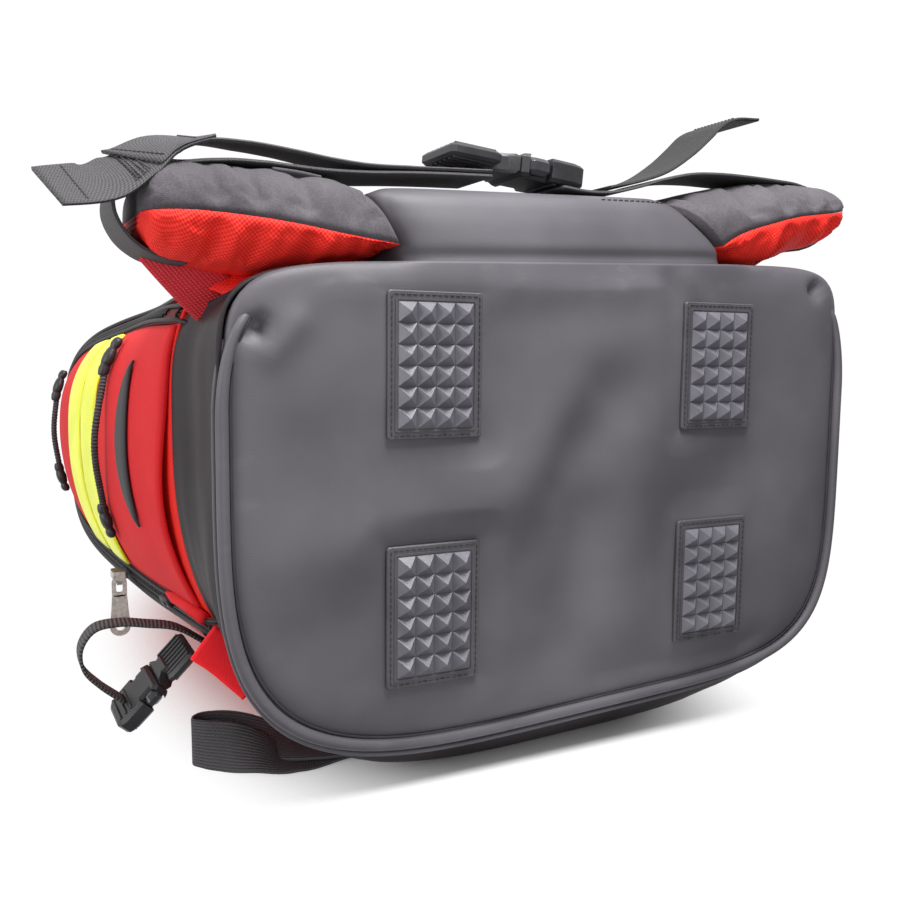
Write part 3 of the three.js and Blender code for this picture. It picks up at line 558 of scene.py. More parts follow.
def surface(shade, deep, bright, roughness, height, relief):
    """Varying sockets: colour from deep to bright by shade, roughness, and a relief in millimetres."""
    inputs = {"Height": height, "Distance": relief / 1000, "Strength": 1.0}
    return {
        "Base Color": shade.mix(deep, bright),
        "Roughness": roughness,
        "Normal": height.node("Bump", None, inputs),
    }


def coated_cloth(deep, bright, worn):
    """Smooth coated tarpaulin: cloudy colour, faint weave, pale scuffs where it is worn."""
    def build(wire):
        u, v = cloth_axes(wire)
        cloud = speckle(wire, 70, 3)
        grain = speckle(wire, 1.3)
        scratch = speckle(wire, 9, 5, (0.4, 1, 1))
        wear = wire.node("Attribute", {"attribute_name": "wear"}, None, out="Fac")
        scuff = scratch.between(0.58, 0.8) * wear * 0.1
        base = cloud.between(0.3, 0.7).mix(deep, bright)
        weave = u.sine(1.5) * v.sine(1.5)
        roughness = 0.5 + 0.14 * grain - 0.06 * cloud + 0.1 * scuff
        return surface(scuff, base, worn, roughness, weave * 0.25 + grain * 0.8 + scratch * 0.3, 0.05)
    return build


def coarse_weave(deep, bright, pitch):
    """Plain weave of thick yarn: raised crossings with dark gaps between them."""
    def build(wire):
        u, v = cloth_axes(wire)
        crossing = u.sine(2 * pitch) * v.sine(2 * pitch)
        fibre = speckle(wire, 0.6)
        shade = (crossing * 0.42 + 0.4 + fibre * 0.25).between(0.05, 0.95)
        return surface(shade, deep, bright, 0.62 + 0.2 * fibre, crossing + fibre * 0.3, 0.16)
    return build


def fine_cloth(deep, bright, pitch, relief=0.05):
    """Fine textile with a soft mottle of lighter and darker yarns."""
    def build(wire):
        u, v = cloth_axes(wire)
        yarn = speckle(wire, 1.1)
        cloud = speckle(wire, 40)
        weave = u.sine(pitch) * v.sine(pitch)
        shade = (weave * 0.16 + yarn * 0.7 + cloud * 0.5 - 0.1).between(0.2, 0.8)
        return surface(shade, deep, bright, 0.72 + 0.2 * yarn, weave + yarn, relief)
    return build


def webbing(deep, bright, rib=2.2):
    """Woven strap: ribs along it, fine threads across it."""
    def build(wire):
        u, v = cloth_axes(wire)
        ribs = u.sine(rib)
        picks = (v + u * 0.5).sine(1.4)
        fibre = speckle(wire, 0.8)
        shade = (ribs * 0.2 + picks * 0.18 + fibre * 0.6 + 0.15).between(0.1, 0.9)
        return surface(shade, deep, bright, 0.58 + 0.2 * fibre, ribs + picks * 0.6, 0.12)
    return build


def ribbed_webbing(deep, bright):
    """Strap with strong ribs across it."""
    def build(wire):
        u, v = cloth_axes(wire)
        ribs = v.sine(2.0)
        fibre = speckle(wire, 0.8)
        shade = (ribs * 0.32 + fibre * 0.5 + 0.2 + 0.05 * u.sine(1.2)).between(0.1, 0.9)
        return surface(shade, deep, bright, 0.55 + 0.2 * fibre, ribs, 0.2)
    return build


def moulded(deep, bright, rough):
    """Moulded plastic or rubber: fine texture and slight cloudiness."""
    def build(wire):
        grain = speckle(wire, 0.9)
        cloud = speckle(wire, 14)
        shade = (cloud * 0.7 + grain * 0.3).between(0.25, 0.75)
        roughness = rough + 0.16 * (grain - 0.5) + 0.1 * (cloud - 0.5)
        return surface(shade, deep, bright, roughness, grain, 0.04)
    return build


def reflective_tape(deep, bright):
    """Bright tape with a small raised lattice."""
    def build(wire):
        u, v = cloth_axes(wire)
        lattice = (u + v).sine(2.4) * (u - v).sine(2.4)
        cloud = speckle(wire, 30)
        shade = (lattice * 0.2 + cloud).between(0.25, 0.75)
        return surface(shade, deep, bright, 0.42 + 0.12 * lattice, lattice, 0.05)
    return build


def plated(deep, bright):
    """Plated metal with light brushing and small tarnished spots."""
    def build(wire):
        streak = speckle(wire, 2.5, 4)
        shade = streak.between(0.3, 0.7)
        return surface(shade, deep, bright, 0.24 + 0.2 * streak, streak, 0.03)
    return build


grey_coated = finish("grey_coated", coated_cloth((76, 73, 79), (88, 85, 91), (164, 162, 166)),
                     Specular_IOR_Level=0.4)
# Wall band's grey, darker than the base cloth: partly its own darker cloth, partly painted shade for its side
# turned away from the light.
dark_wall_cloth_and_painted_shade = finish("dark_wall_cloth_and_painted_shade", coated_cloth((36, 32, 35), (46, 42, 45), (90, 88, 90)),
                   Specular_IOR_Level=0.2)
red_coarse = finish("red_coarse", coarse_weave((176, 6, 8), (252, 40, 26), 1.25), Specular_IOR_Level=0.3)
# Red weave for the fins' lower halves, brighter than red_coarse: painted light for their down-facing sides,
# which get little lamp light.
red_fin_with_painted_light = finish("red_fin_with_painted_light", coarse_weave((224, 14, 14), (255, 60, 46), 1.1), Specular_IOR_Level=0.3)
red_smooth = finish("red_smooth", fine_cloth((190, 22, 30), (214, 36, 40), 1.1, 0.03), Specular_IOR_Level=0.3)
charcoal_textile = finish("charcoal_textile", fine_cloth((53, 49, 54), (87, 82, 88), 0.9), Sheen_Weight=0.1)
black_strap = finish("black_strap", webbing((40, 38, 41), (78, 75, 79), 1.6))
shaded_strap = finish("shaded_strap", webbing((12, 12, 13), (30, 29, 31), 1.6))
black_ribbed = finish("black_ribbed", ribbed_webbing((30, 29, 31), (74, 72, 75)))
# Low tab's red, set as bright as red goes: partly the tab's own vivid red, partly painted light for the shade
# its face lies in.
vivid_red_tab_and_painted_light = finish("vivid_red_tab_and_painted_light", fine_cloth((240, 12, 26), (255, 26, 40), 1.0))
red_ribbed = finish("red_ribbed", webbing((164, 8, 26), (206, 26, 42), 1.6))
black_plastic = finish("black_plastic", moulded((30, 29, 32), (44, 43, 47), 0.46))
gloss_black = finish("gloss_black", moulded((46, 46, 49), (58, 58, 62), 0.2))
patch_grey = finish("patch_grey", moulded((34, 33, 37), (46, 45, 50), 0.6))
stud_rubber = finish("stud_rubber", moulded((84, 82, 90), (102, 100, 108), 0.34), Specular_IOR_Level=0.7)
pad_rubber = finish("pad_rubber", moulded((64, 62, 67), (76, 74, 79), 0.5))
thread_dark = finish("thread_dark", moulded((36, 34, 40), (52, 50, 56), 0.7))
thread_grey = finish("thread_grey", moulded((50, 48, 52), (66, 64, 68), 0.7))
yellow_tape = finish("yellow_tape", reflective_tape((216, 226, 24), (242, 246, 64)))
zip_tape = finish("zip_tape", fine_cloth((70, 14, 20), (110, 26, 32), 1.0))
black_coil = finish("black_coil", moulded((14, 13, 15), (26, 25, 28), 0.6))
zip_silver = finish("zip_silver", plated((158, 152, 148), (190, 184, 178)), Metallic=0.7)


# Base: soft coated panel with its dents, round welt and wall band
BASE_RING = 6
BASE_FACE = 7.3
BASE_CROWN = 5
BASE_EDGE = 28
BASE_INSET = (3.4, 3.4, 1)
BASE_HUB = np.array([0, 0, 145])
BASE_LIP = 2.2
LIP_RUN = 3
RELIEF_RUN = 14
EDGE_SHARE = 0.24
BASE_TILT = 0.04
PAD_CENTRES = [(-88, 205.6), (88, 205.6), (-88, 84.4), (88, 84.4)]
PAD_HALF = (25, 35)
FOLD_SCALE = 0.82
# Soft folds of the base: ends of each crest, its half width and how far it stands out
BASE_FOLDS = [
    (-132, 120, -46, 142, 16, 6.0),
    (-46, 142, -14, 170, 17, 5.6),
    (-14, 170, 22, 226, 22, 5.2),
    (12, 188, -4, 166, 15, -7.0),
    (-4, 166, -20, 146, 13, -5.0),
    (46, 162, 24, 74, 18, 5.0),
    (0, 126, -14, 60, 16, -5.4),
    (-60, 60, -40, 34, 15, 3.2),
    (-50, 100, -30, 70, 16, 2.4),
    (60, 120, 100, 138, 20, -3.4),
    (-150, 160, -140, 90, 20, -3.4),
    (-120, 240, 40, 250, 9, 2.4),
    (-100, 226, 30, 236, 10, -1.6),
    (52, 256, 60, 240, 5, -3.0),
    (66, 254, 72, 242, 5, 2.4),
    (150, 170, 158, 90, 20, 2.6),
    (-182, 221, -173, 222, 3.6, -11.0),
    (-168, 212, -156, 224, 5, 2.8),
    (170, 256, 164, 250, 3.2, -9.0),
    (20, 36, 120, 40, 9, -3.4),
]


def base_relief(x, z):
    """How far the base cloth stands out, from its folds, kept flat under the pads."""
    height = np.zeros_like(x)
    for x0, z0, x1, z1, width, rise in BASE_FOLDS:
        run = np.array([x1 - x0, z1 - z0], float)
        share = np.clip(((x - x0) * run[0] + (z - z0) * run[1]) / (run @ run), 0, 1)
        away = np.hypot(x - x0 - share * run[0], z - z0 - share * run[1])
        height += FOLD_SCALE * rise * np.exp(-0.5 * (away / width) ** 2)
    for px, pz in PAD_CENTRES:
        aside = np.maximum(np.abs(x - px) - PAD_HALF[0], 0)
        away = np.hypot(aside, np.maximum(np.abs(z - pz) - PAD_HALF[1], 0))
        height *= np.clip(away / 16, 0, 1) ** 0.7
    return height


def make_base():
    rim = ring(BASE_RING, BASE_INSET, y_out=0)
    shares = np.concatenate([np.linspace(0, EDGE_SHARE, 24), np.linspace(EDGE_SHARE, 0.995, 72)[1:]])
    points = rim + (BASE_HUB - rim) * shares[:, None, None]
    depth = np.linalg.norm(points - rim, axis=2)
    x, z = points[..., 0], points[..., 2]
    lip = BASE_LIP * (1 - np.exp(-depth / LIP_RUN))
    fall = lip + (BASE_CROWN - BASE_LIP) * np.sin(np.clip(depth / BASE_EDGE, 0, 1) * np.pi / 2)
    under_cushion = smooth(z, 222, 250) * smooth(-np.abs(x - 3), -116, -92)
    fall = fall + (BASE_CROWN - fall) * 0.75 * under_cushion
    lumps = ripple(points, 60, 3) * 1.2 + ripple(points, 22, 8) * 0.3
    points[..., 1] = BASE_FACE - fall - (base_relief(x, z) + lumps) * np.clip(depth / RELIEF_RUN, 0, 1)
    top_fold = np.exp(-((z - 252 - BASE_TILT * x) / 6) ** 2) * smooth(-np.abs(x), -170, -120)
    wear = np.clip(top_fold + 0.5 * np.exp(-((depth - 8) / 7) ** 2) + 0.12, 0, 1)
    skirt = ring(BASE_RING + 8, (3, 3, 2.5))[None]
    form = Form()
    form.grid(np.concatenate([skirt, points]), wrap=True, caps="last", inside=BAG_MIDDLE,
              wear=np.concatenate([wear[:1], wear]))
    form.make("base_cloth", [grey_coated], "coated_cloth", ["base_panel"], thickness=2.5)


# Rolls round the base edge, the welt, its backing and its sewn line: height, inset, radius, finish
BASE_ROLLS = [
    (BASE_RING, -0.2, 3.0, 0),
    (BASE_RING + 6.8, -0.5, 1.4, 0),
    (BASE_RING + 0.5, 3.7, 0.8, THREAD),
]
WELT_TOP = 246
WELT_TAPER = 18


def make_base_piping():
    form = Form()
    for height, inset, size, material in BASE_ROLLS:
        welt = np.roll(ring(height, (inset, inset, 1), 360), -90, axis=0)
        line = welt[welt[:, 2] < WELT_TOP + BASE_TILT * welt[:, 0]]
        along = from_ends(len(line)) / WELT_TAPER
        pull = np.clip(1 - along, 0, 1)[:, None] ** 2
        dive = np.clip(1 - 4 * along, 0, 1)[:, None] ** 2 * np.array([0, 6, 0])
        line = line + pull * (BASE_HUB - line) * 0.06 + dive
        form.tube(line, size * np.clip(0.7 + 0.3 * along, 0, 1), 14, material, wear=0.5)
    form.make("base_welt", [grey_coated, thread_dark], "coated_cloth", ["base_piping"])


BAND_START = 10.5
BAND_END = 67
BAND_END_BACK = 32
BAND_TURN = (230, 242)
BAND_SAG = 1.8


def band_edge():
    """Height of the grey band's far edge round the bag: nearer to the base at the back."""
    level = np.clip(ring(BAND_END)[:, 2], *BAND_TURN)
    return np.interp(level, BAND_TURN, (BAND_END, BAND_END_BACK))


def wall_rows(starts, ends, count):
    """Rows of points on the body between two heights, one of which changes round it."""
    rows = []
    for share in np.linspace(0, 1, count):
        heights = starts + (ends - starts) * share
        rows.append([ring(y)[k] for k, y in enumerate(heights)])
    return np.array(rows)


def freedom(points, sharpness, rise):
    """How far wall cloth may move: not at its two edges, and not where it lies on the floor."""
    inner = np.sin(np.linspace(0, 1, len(points)) * np.pi)[:, None] ** sharpness
    return inner * np.clip((points[..., 2] - FLOOR_LEVEL - 2) / rise, 0, 1)


def make_base_band():
    points = wall_rows(BAND_START, band_edge(), 22)
    stretched = points * np.array([0.5, 1, 0.2])
    folds = ripple(stretched, 20, 5) * 2.6 + ripple(stretched, 9, 2) * 0.7
    move = (folds - BAND_SAG) * freedom(points, 0.5, 12)
    form = Form().grid(pushed_out(points, move), wrap=True, wear=0.14)
    # The band's dark grey is partly painted shade.
    form.make("base_band_cloth", [dark_wall_cloth_and_painted_shade], "coated_cloth", ["base_band"], thickness=CLOTH)


# Pads on the base: sewn plate with rows of pyramids, whose levels are half widths and heights
PAD_PLATE = 2
PAD_FACE = 2
STUD_CELL = 10
STUD_LEVELS = ((4.85, -0.2), (4.85, 0.12), (0.35, 4.5), (0.08, 4.58))


def rounded_outline(width, height, radius, steps=4):
    """Rectangle with round corners, centred."""
    corners = [(1, -1, -90), (1, 1, 0), (-1, 1, 90), (-1, -1, 180)]
    outline = []
    for sx, sy, start in corners:
        for turn in np.radians(start + np.linspace(0, 90, steps)):
            outline.append((sx * (width / 2 - radius) + radius * math.cos(turn),
                            sy * (height / 2 - radius) + radius * math.sin(turn)))
    return np.array(outline)


def pad_outline(inset, radius):
    """Outline of a pad, drawn in over its whole width."""
    return rounded_outline(2 * PAD_HALF[0] - inset, 2 * PAD_HALF[1] - inset, radius)


def make_pads():
    for number, (px, pz) in enumerate(PAD_CENTRES, 1):
        form = Form()
        matrix = (FACE_OUT, (px, PAD_FACE, pz))
        form.prism(pad_outline(0, 1.5), -0.2, PAD_PLATE, matrix, 0.5, finish=2)
        rim = pad_outline(7, 1)
        inner = pad_outline(9, 1)
        foot, crest = PAD_PLATE - 0.3, PAD_PLATE + 0.5
        ridge = stacked(((rim, foot), (rim * 0.995, crest), (inner, crest), (inner, foot)))
        form.grid(placed(ridge, matrix), wrap=True, finish=2, inside=(px, 3, pz))
        square = np.array([(1, -1), (1, 1), (-1, 1), (-1, -1)])
        for column in range(4):
            for row in range(6):
                centre = np.array([(column - 1.5) * STUD_CELL, (row - 2.5) * STUD_CELL])
                stud = stacked([(centre + square * half, PAD_PLATE + up) for half, up in STUD_LEVELS])
                form.grid(placed(stud, matrix), wrap=True, caps=True)
        seam = pad_outline(3.6, 1.2)
        seam = np.vstack([seam, seam[:1]])
        line = placed(stacked([(seam, PAD_PLATE)])[0], matrix)
        stitch_row(form, line, (0, -1, 0), 2.3, 3.2, 0.34)
        form.make(f"stud_pad_{number}", [stud_rubber, thread_dark, pad_rubber], "stud_rubber",
                  [f"foot_pad_{number}"], smooth=False)


# Body: woven red tube and the rounded end that closes it
def make_body():
    points = wall_rows(band_edge() + GAP, BODY_END, 56)
    sag = np.abs(ripple(points, 90, 4)) * 3.2 + np.abs(ripple(points * np.array([1, 0.5, 1]), 34, 9)) * 1.2
    points = pushed_out(points, -sag * freedom(points, 0.4, 25))
    x, y, z = np.moveaxis(points, 2, 0)
    under_fin = smooth(y, 33, 50) * smooth(-y, -106, -86) * smooth(z, 205, 240)
    points[..., 2] += under_fin * (8 * smooth(-x, 90, 116) + 6 * smooth(x, 90, 116))
    form = Form().grid(points, wrap=True)
    form.make("body_cloth", [red_coarse], "red_weave", ["body_wall"], thickness=CLOTH)


TOP_RADIUS = 32


def make_top():
    turns = np.linspace(0, np.pi / 2, 16)
    start = BODY_END + GAP
    rows = []
    for turn in turns:
        depth = TOP_RADIUS * (1 - math.cos(turn))
        rows.append(ring(start, (depth,) * 3, y_out=start + TOP_RADIUS * math.sin(turn)))
    rows += closing_rows(rows[-1], 0.99, 44)
    points = np.array(rows)
    flat = np.clip((np.arange(len(rows)) - 10) / 12, 0, 1)[:, None]
    points[..., 1] -= (np.abs(ripple(points, 70, 6)) * 5 + np.abs(ripple(points, 30, 2)) * 1.5) * flat
    form = Form().grid(points, wrap=True, caps="last", inside=BAG_MIDDLE)
    form.make("top_cloth", [red_coarse], "red_weave", ["top_panel"], thickness=CLOTH)


# Back: padded panel with sewn channels, and the grey cushion that the base cloth runs up on
BACK = SimpleNamespace(half=132, start=98, end=440, thickness=12, edge=3, growth=0.03)
# Sewn channels of the back: two along it, and three between those across it
CHANNELS_ALONG = (-52, 52)
CHANNELS_ACROSS = (190, 268, 346)
CHANNEL_WIDTH = 5
SEWN_WIDTH = 4


def sewn_edges(sewn):
    """Mark of the points that stay fast, with two rows on each edge added."""
    sewn[:2] = sewn[-2:] = True
    sewn[:, :2] = sewn[:, -2:] = True
    return sewn


def make_back_panel():
    x = np.linspace(-BACK.half, BACK.half, 89)[None, :]
    y = np.linspace(BACK.start, BACK.end, 97)[:, None]
    across = 1 - np.abs(x / BACK.half) ** 6
    along = 1 - np.abs((y - BACK.start) / (BACK.end - BACK.start) * 2 - 1) ** 10
    crown = GAP + BACK.edge + (BACK.thickness - BACK.edge) * np.minimum(across, along)
    between = np.abs(x) < CHANNELS_ALONG[1]
    for middle in CHANNELS_ALONG:
        crown = crown - 5.5 * np.exp(-((x - middle) / CHANNEL_WIDTH) ** 2) * np.minimum(across, along)
    for middle in CHANNELS_ACROSS:
        crown = crown - 4.5 * np.exp(-((y - middle) / CHANNEL_WIDTH) ** 2) * across * between
    outer = back_point(x, y, crown)
    outer[..., 2] += ripple(outer, 24, 4) * 0.6
    form = Form().slab(outer, back_point(x, y, SEAT + 0 * crown))
    panel = form.make("back_cushion", [charcoal_textile], "charcoal_cloth", ["back_panel"])
    channels = [np.abs(x - middle) + 0 * y < SEWN_WIDTH for middle in CHANNELS_ALONG]
    channels += [(np.abs(y - middle) < SEWN_WIDTH) & between for middle in CHANNELS_ACROSS]
    sewn = sewn_edges(np.any(channels, axis=0))
    swells.append((panel, np.hstack([sewn, np.ones_like(sewn)]).ravel(), BACK.growth))


LUMBAR = Table(
    "z inset taper",
    (250, 1, 0),
    (266, 0, 0.1),
    (282, 0, 0.6),
    (292, 3, 0.95),
    (295, 10, 1),
)
LUMBAR_SIDES = SimpleNamespace(
    left=-101, right=101, near=3, far=92, taper_left=-15, taper_right=31, rise=0.045, square=7)


def lumbar_ring(level, count=160):
    """Rounded outline of the lumbar cushion at a level."""
    s = LUMBAR.at(level)
    left = LUMBAR_SIDES.left + LUMBAR_SIDES.taper_left * s.taper + s.inset
    right = LUMBAR_SIDES.right - LUMBAR_SIDES.taper_right * s.taper - s.inset
    near = LUMBAR_SIDES.near + s.inset
    far = LUMBAR_SIDES.far - s.inset
    angle = full_turn(count)
    x = (left + right) / 2 + (right - left) / 2 * squared(np.cos(angle), LUMBAR_SIDES.square)
    y = (near + far) / 2 + (far - near) / 2 * squared(np.sin(angle), LUMBAR_SIDES.square)
    return np.stack([x, y, level + LUMBAR_SIDES.rise * x], axis=1)


def front_share(y):
    """1 on the lumbar cushion's front face, 0 further back."""
    return np.clip((30 - y) / 20, 0, 1)


def lumbar_front(points):
    """Lumbar points with the crease over the base and the lean of the front face."""
    x, y, z = np.moveaxis(points, -1, 0)
    level = z - LUMBAR_SIDES.rise * x
    crease = 1.8 * np.exp(-((level - 262) / 3.2) ** 2)
    moved = points.copy()
    moved[..., 1] += front_share(y) * (crease + np.maximum(level - 264, 0) * 0.3)
    return moved


def make_lumbar():
    rows = [lumbar_ring(level) for level in np.linspace(253, 295, 26)]
    rows[0] = back_point(rows[0][:, 0], rows[0][:, 1], 2 * SEAT)
    rows += closing_rows(rows[-1], 0.98, 20, 1.6)
    points = lumbar_front(np.array(rows))
    points[..., 1] += ripple(points, 45, 7) * 0.8 * front_share(points[..., 1])
    wear = np.clip(np.exp(-((points[..., 2] - 270) / 12) ** 2) * 0.2 + 0.08, 0, 1)
    form = Form().grid(points, wrap=True, caps=True, wear=wear)
    seam = np.array([p for p in lumbar_ring(292.4, count=400) if p[1] < 12 and 12 < p[0] < 68])
    seam = lumbar_front(seam[np.argsort(seam[:, 0])])
    stitch_row(form, seam, (0, -0.7, 0.7), 2.4, 3.8, 0.35)
    cushion = form.make("lumbar_cushion", [grey_coated, thread_dark], "coated_cloth", ["lumbar_pad"])


# Shoulder straps: padded band with bound edges, and webbing down to the body
SHOULDER_PAD = SimpleNamespace(width=62, thickness=12)
SHOULDER_ROWS = [
    (72, 464, float(back_point(72, 464, 6.3)[2])),
    (78, 440, 282),
    (96, 360, 307),
    (114, 280, 310),
    (130, 210, 297),
    (140, 160, 277),
]
SHOULDER_WEB_ROWS = [
    (140.2, 159.3, 276.7),
    (146, 138, 265),
    (150, 118, float(back_point(137, 118, 2.4)[2])),
    (151, 104, float(back_point(138, 104, 1.25)[2])),
]


def make_shoulder_straps():
    for name, side in SIDES:
        rows = [(side * x, y, z) for x, y, z in SHOULDER_ROWS]
        grid, frames = sweep(rows, pad_section(SHOULDER_PAD.width - 1, SHOULDER_PAD.thickness), (1, 0, 0), 14)
        form = Form().grid(grid, wrap=True, caps=True)
        for edge in (-1, 1):
            reach = edge * (SHOULDER_PAD.width / 2 - 2)
            form.tube([place + across * reach for place, _, across, _ in frames], 2.2, 8, 1)
        strap = form.make(f"shoulder_pad_{name}", [charcoal_textile, black_strap], "charcoal_cloth",
                          [f"shoulder_strap_{name}"])
        rows = [(side * x, y, z) for x, y, z in SHOULDER_WEB_ROWS]
        make_strap(f"shoulder_webbing_{name}", rows, WEB_WIDTH, [f"shoulder_web_{name}"], axis=(1, 0, 0))


WEBBING = 1.8
WEB_WIDTH = 25
LOOP_WIDTH = 14


def make_strap(name, rows, width, replaces, axis=(0, 1, 0), finishes=None, slot="black_webbing", seams=()):
    """Strap along rows, with sewn lines across it at shares of its length on one of its faces."""
    grid, frames = sweep(rows, strap_section(width, WEBBING), axis, 8)
    form = Form().grid(grid, wrap=True, caps=True)
    for share, face, slant in seams:
        place, direction, across, up = frames[round(share * (len(frames) - 1))]
        reach = np.linspace(-width / 2 + 2.5, width / 2 - 2.5, 12)[:, None]
        line = place + across * reach + direction * slant * reach + up * face * WEBBING / 2
        stitch_row(form, line, up * face, 2.2, 2.9, 0.4)
    return form.make(name, finishes or [black_strap, thread_grey], slot, replaces)


# Hip fins: padded halves that meet at a seam, sections outward from the lumbar cushion
WING_LEFT = Table(
    "out low seam top near far",
    (103.4, 261.4, 262.4, 290, 8, 92),
    (130, 257, 265.5, 292.5, 8, 93),
    (152, 252, 268.5, 293.5, 8, 94),
    (172, 250, 270.5, 294, 9, 95),
    (196, 253, 271.8, 294, 11, 93),
    (208, 255, 271.5, 293, 13, 90),
    (215, 259, 271.2, 289, 17, 84),
    (218.5, 264, 271, 283, 24, 76),
)
WING_RIGHT = Table(
    "out low seam top near far",
    (99, 270, 273, 298, 8, 92),
    (115, 265.6, 281, 305, 8, 93),
    (131, 265, 287, 311, 8, 94),
    (153, 271, 293, 314.5, 10, 95),
    (178, 280, 297, 315, 12, 93),
    (191, 283, 299, 315, 13, 91),
    (199, 287, 300.5, 312.5, 17, 86),
    (203, 292, 301, 309, 24, 78),
)
WING_POWER = 2.6
WING_FADE = 45
FIN_ROWS = 84
FIN_COLUMNS = 44
# Tucks that run from the seam: distance out, half width and depth
FIN_TUCKS = [
    (188, 3.2, 2.6), (179, 2.6, -1.4), (171, 3, 1.8), (147, 3.6, 2.8), (138, 3, -1.4), (124, 3.4, 1.6),
]
FIN_GROWTH = 0.04


def wing_half(table, side, slope, level, upper):
    places = np.linspace(table.key[0], table.key[-1], FIN_ROWS)
    angle = np.linspace(0, np.pi, FIN_COLUMNS)
    c, v = np.cos(angle), np.abs(np.sin(angle))
    rings = []
    for out in places:
        row = table.at(out)
        seam = row.seam + (GAP / 2 if upper else -GAP / 2)
        height = row.top - seam if upper else min(row.low - seam, -0.2)
        middle, half = (row.near + row.far) / 2, (row.far - row.near) / 2
        y = middle - half * squared(c, WING_POWER)
        z = seam + height * squared(v, WING_POWER)
        lean = max(1 - (out - places[0]) / WING_FADE, 0) ** 2
        rings.append(np.stack([side * out + slope * (z - level) * lean, y, z], axis=1))
    points = np.array(rings)
    ends = np.clip(from_ends(FIN_ROWS) / 6, 0, 1)[:, None]
    gathers = points * np.array([1, 0.3, 0.3])
    soft = ripple(gathers, 11, 5 + side) * 1.5 + ripple(gathers, 5.5, 9) * 0.6
    out = places[:, None]
    tuck = sum(depth * np.exp(-((out - middle) / width) ** 2) for middle, width, depth in FIN_TUCKS)
    tuck = tuck * smooth(v, 0.05, 0.3) * smooth(-v, -0.95, -0.55) * smooth(c, -0.2, 0.3)
    points[..., 2] += (soft * np.clip(v / 0.5, 0, 1) - tuck * (0.7 if upper else -0.7)) * ends
    points[..., 1] += (soft * np.clip(v / 0.2, 0, 1) * 0.8 + tuck * 0.7) * ends
    return points


def make_wings():
    roots = {"left": (-1, WING_LEFT, -0.52, 262), "right": (1, WING_RIGHT, -1.0, 270)}
    for name, (side, table, slope, level) in roots.items():
        halves = (("upper", True, charcoal_textile, "charcoal_cloth"), ("lower", False, red_fin_with_painted_light, "red_weave"))
        for half, upper, material, slot in halves:
            form = Form().grid(wing_half(table, side, slope, level, upper), wrap=True, caps=True)
            fin = form.make(f"hip_fin_{name}_{half}", [material], slot, [f"hip_wing_{name}_{half}"])
            sewn = sewn_edges(np.zeros((FIN_ROWS, FIN_COLUMNS), bool))
            swells.append((fin, sewn.ravel(), FIN_GROWTH))


# Hip webbing: straps from the fin tips to the buckle, and their free ends
HIP_STRAP_LEFT = [
    (-197, 54, 251.3), (-206, 54, 252.9), (-215.5, 54, 256.6), (-223.5, 53, 263.5), (-228, 52, 273),
    (-227, 51, 282.5), (-219.5, 50, 289.6, 8), (-208, 49, 295.3, 16), (-196, 48, 298, 10),
    (-178, 47, 298.4, 4), (-160, 46, 297.4), (-134, 46, 296.6), (-112, 46, 297.4), (-90, 46, 299.2),
    (-68, 46, 300.6), (-44, 46, 301.8),
]
HIP_TAIL_LEFT = [
    (-44, 46, 304.2), (-68, 46, 303), (-92, 46, 301.8), (-112, 46, 302, -3), (-130, 46, 303.6, -5),
    (-150, 46, 306, -6), (-169, 46, 307.4, -6), (-188, 46, 307.4, -8), (-207, 45, 302.5, -19),
    (-221, 38, 292.5, -29), (-234, 32, 284, -33), (-255, 28.5, 279.2, -31),
]
HIP_STRAP_RIGHT = [
    (0, 46, 300.2), (16, 46, 299), (32, 46, 300), (50, 46, 304.5), (68, 46, 310), (88, 46, 314.6),
    (108, 46, 316.4), (127, 46, 316.8), (153, 48, 317), (178, 54, 317.3), (197, 59, 314.8), (209, 62, 306.5),
    (212, 62, 296.5), (207.5, 61, 287.5), (198.5, 60, 282.2), (189, 60, 279.2),
]
HIP_TAIL_RIGHT = [
    (30, 46, 302.4), (50, 46, 307.4), (70, 46, 314.6), (88, 46, 326), (100, 46, 336), (109, 46, 344),
    (119, 46, 348.6), (136, 46, 350.4),
]
HIP_HEM_LEFT = [(-186, 46, 309.3, -8), (-206, 45, 304.8, -19), (-219.5, 39.4, 296, -28)]
KEEPER_ROWS = [(-159, 46, 294.8), (-147, 46, 294.3), (-136, 46, 293)]
HIP_WIDTH = 40


def make_hip_webbing():
    make_strap("hip_webbing_left", HIP_STRAP_LEFT, HIP_WIDTH, ["hip_strap_left"])
    seams = [(0.955, -1, 0)] + [(share, -1, -0.5) for share in (0.8, 0.805, 0.815, 0.825, 0.835)]
    make_strap("hip_free_end_left", HIP_TAIL_LEFT, HIP_WIDTH, ["hip_tail_left"], seams=seams)
    make_strap("hip_hem_left", HIP_HEM_LEFT, HIP_WIDTH, [], seams=[(0.2, -1, 0), (0.9, -1, 0)])
    make_strap("hip_webbing_right", HIP_STRAP_RIGHT, HIP_WIDTH, ["hip_strap_right"])
    make_strap("hip_free_end_right", HIP_TAIL_RIGHT, HIP_WIDTH, ["hip_tail_right"],
               finishes=[shaded_strap, thread_grey], seams=[(0.86, 1, 0)])
    make_strap("keeper_loop", KEEPER_ROWS, HIP_WIDTH, ["strap_keeper"], finishes=[charcoal_textile],
               slot="charcoal_cloth")


# Side-release buckles, fastened
HIP_BUCKLE = SimpleNamespace(
    centre=(-25.5, 46, 310), along=(83, 0, -7.4), across=(0, 1, 0), length=83, width=40, thickness=12,
    split=0.5)
SIDE_BUCKLE = SimpleNamespace(
    centre=(-206, 94, 38), along=(-32, 3, -34), across=(-0.12, 0.98, 0.08), length=52, width=28, thickness=10,
    split=0.45)


def mirrored(upper):
    """Outline from its upper half, mirrored over the run."""
    upper = np.array(upper, float)
    return np.vstack([upper, upper[::-1] * (1, -1)])


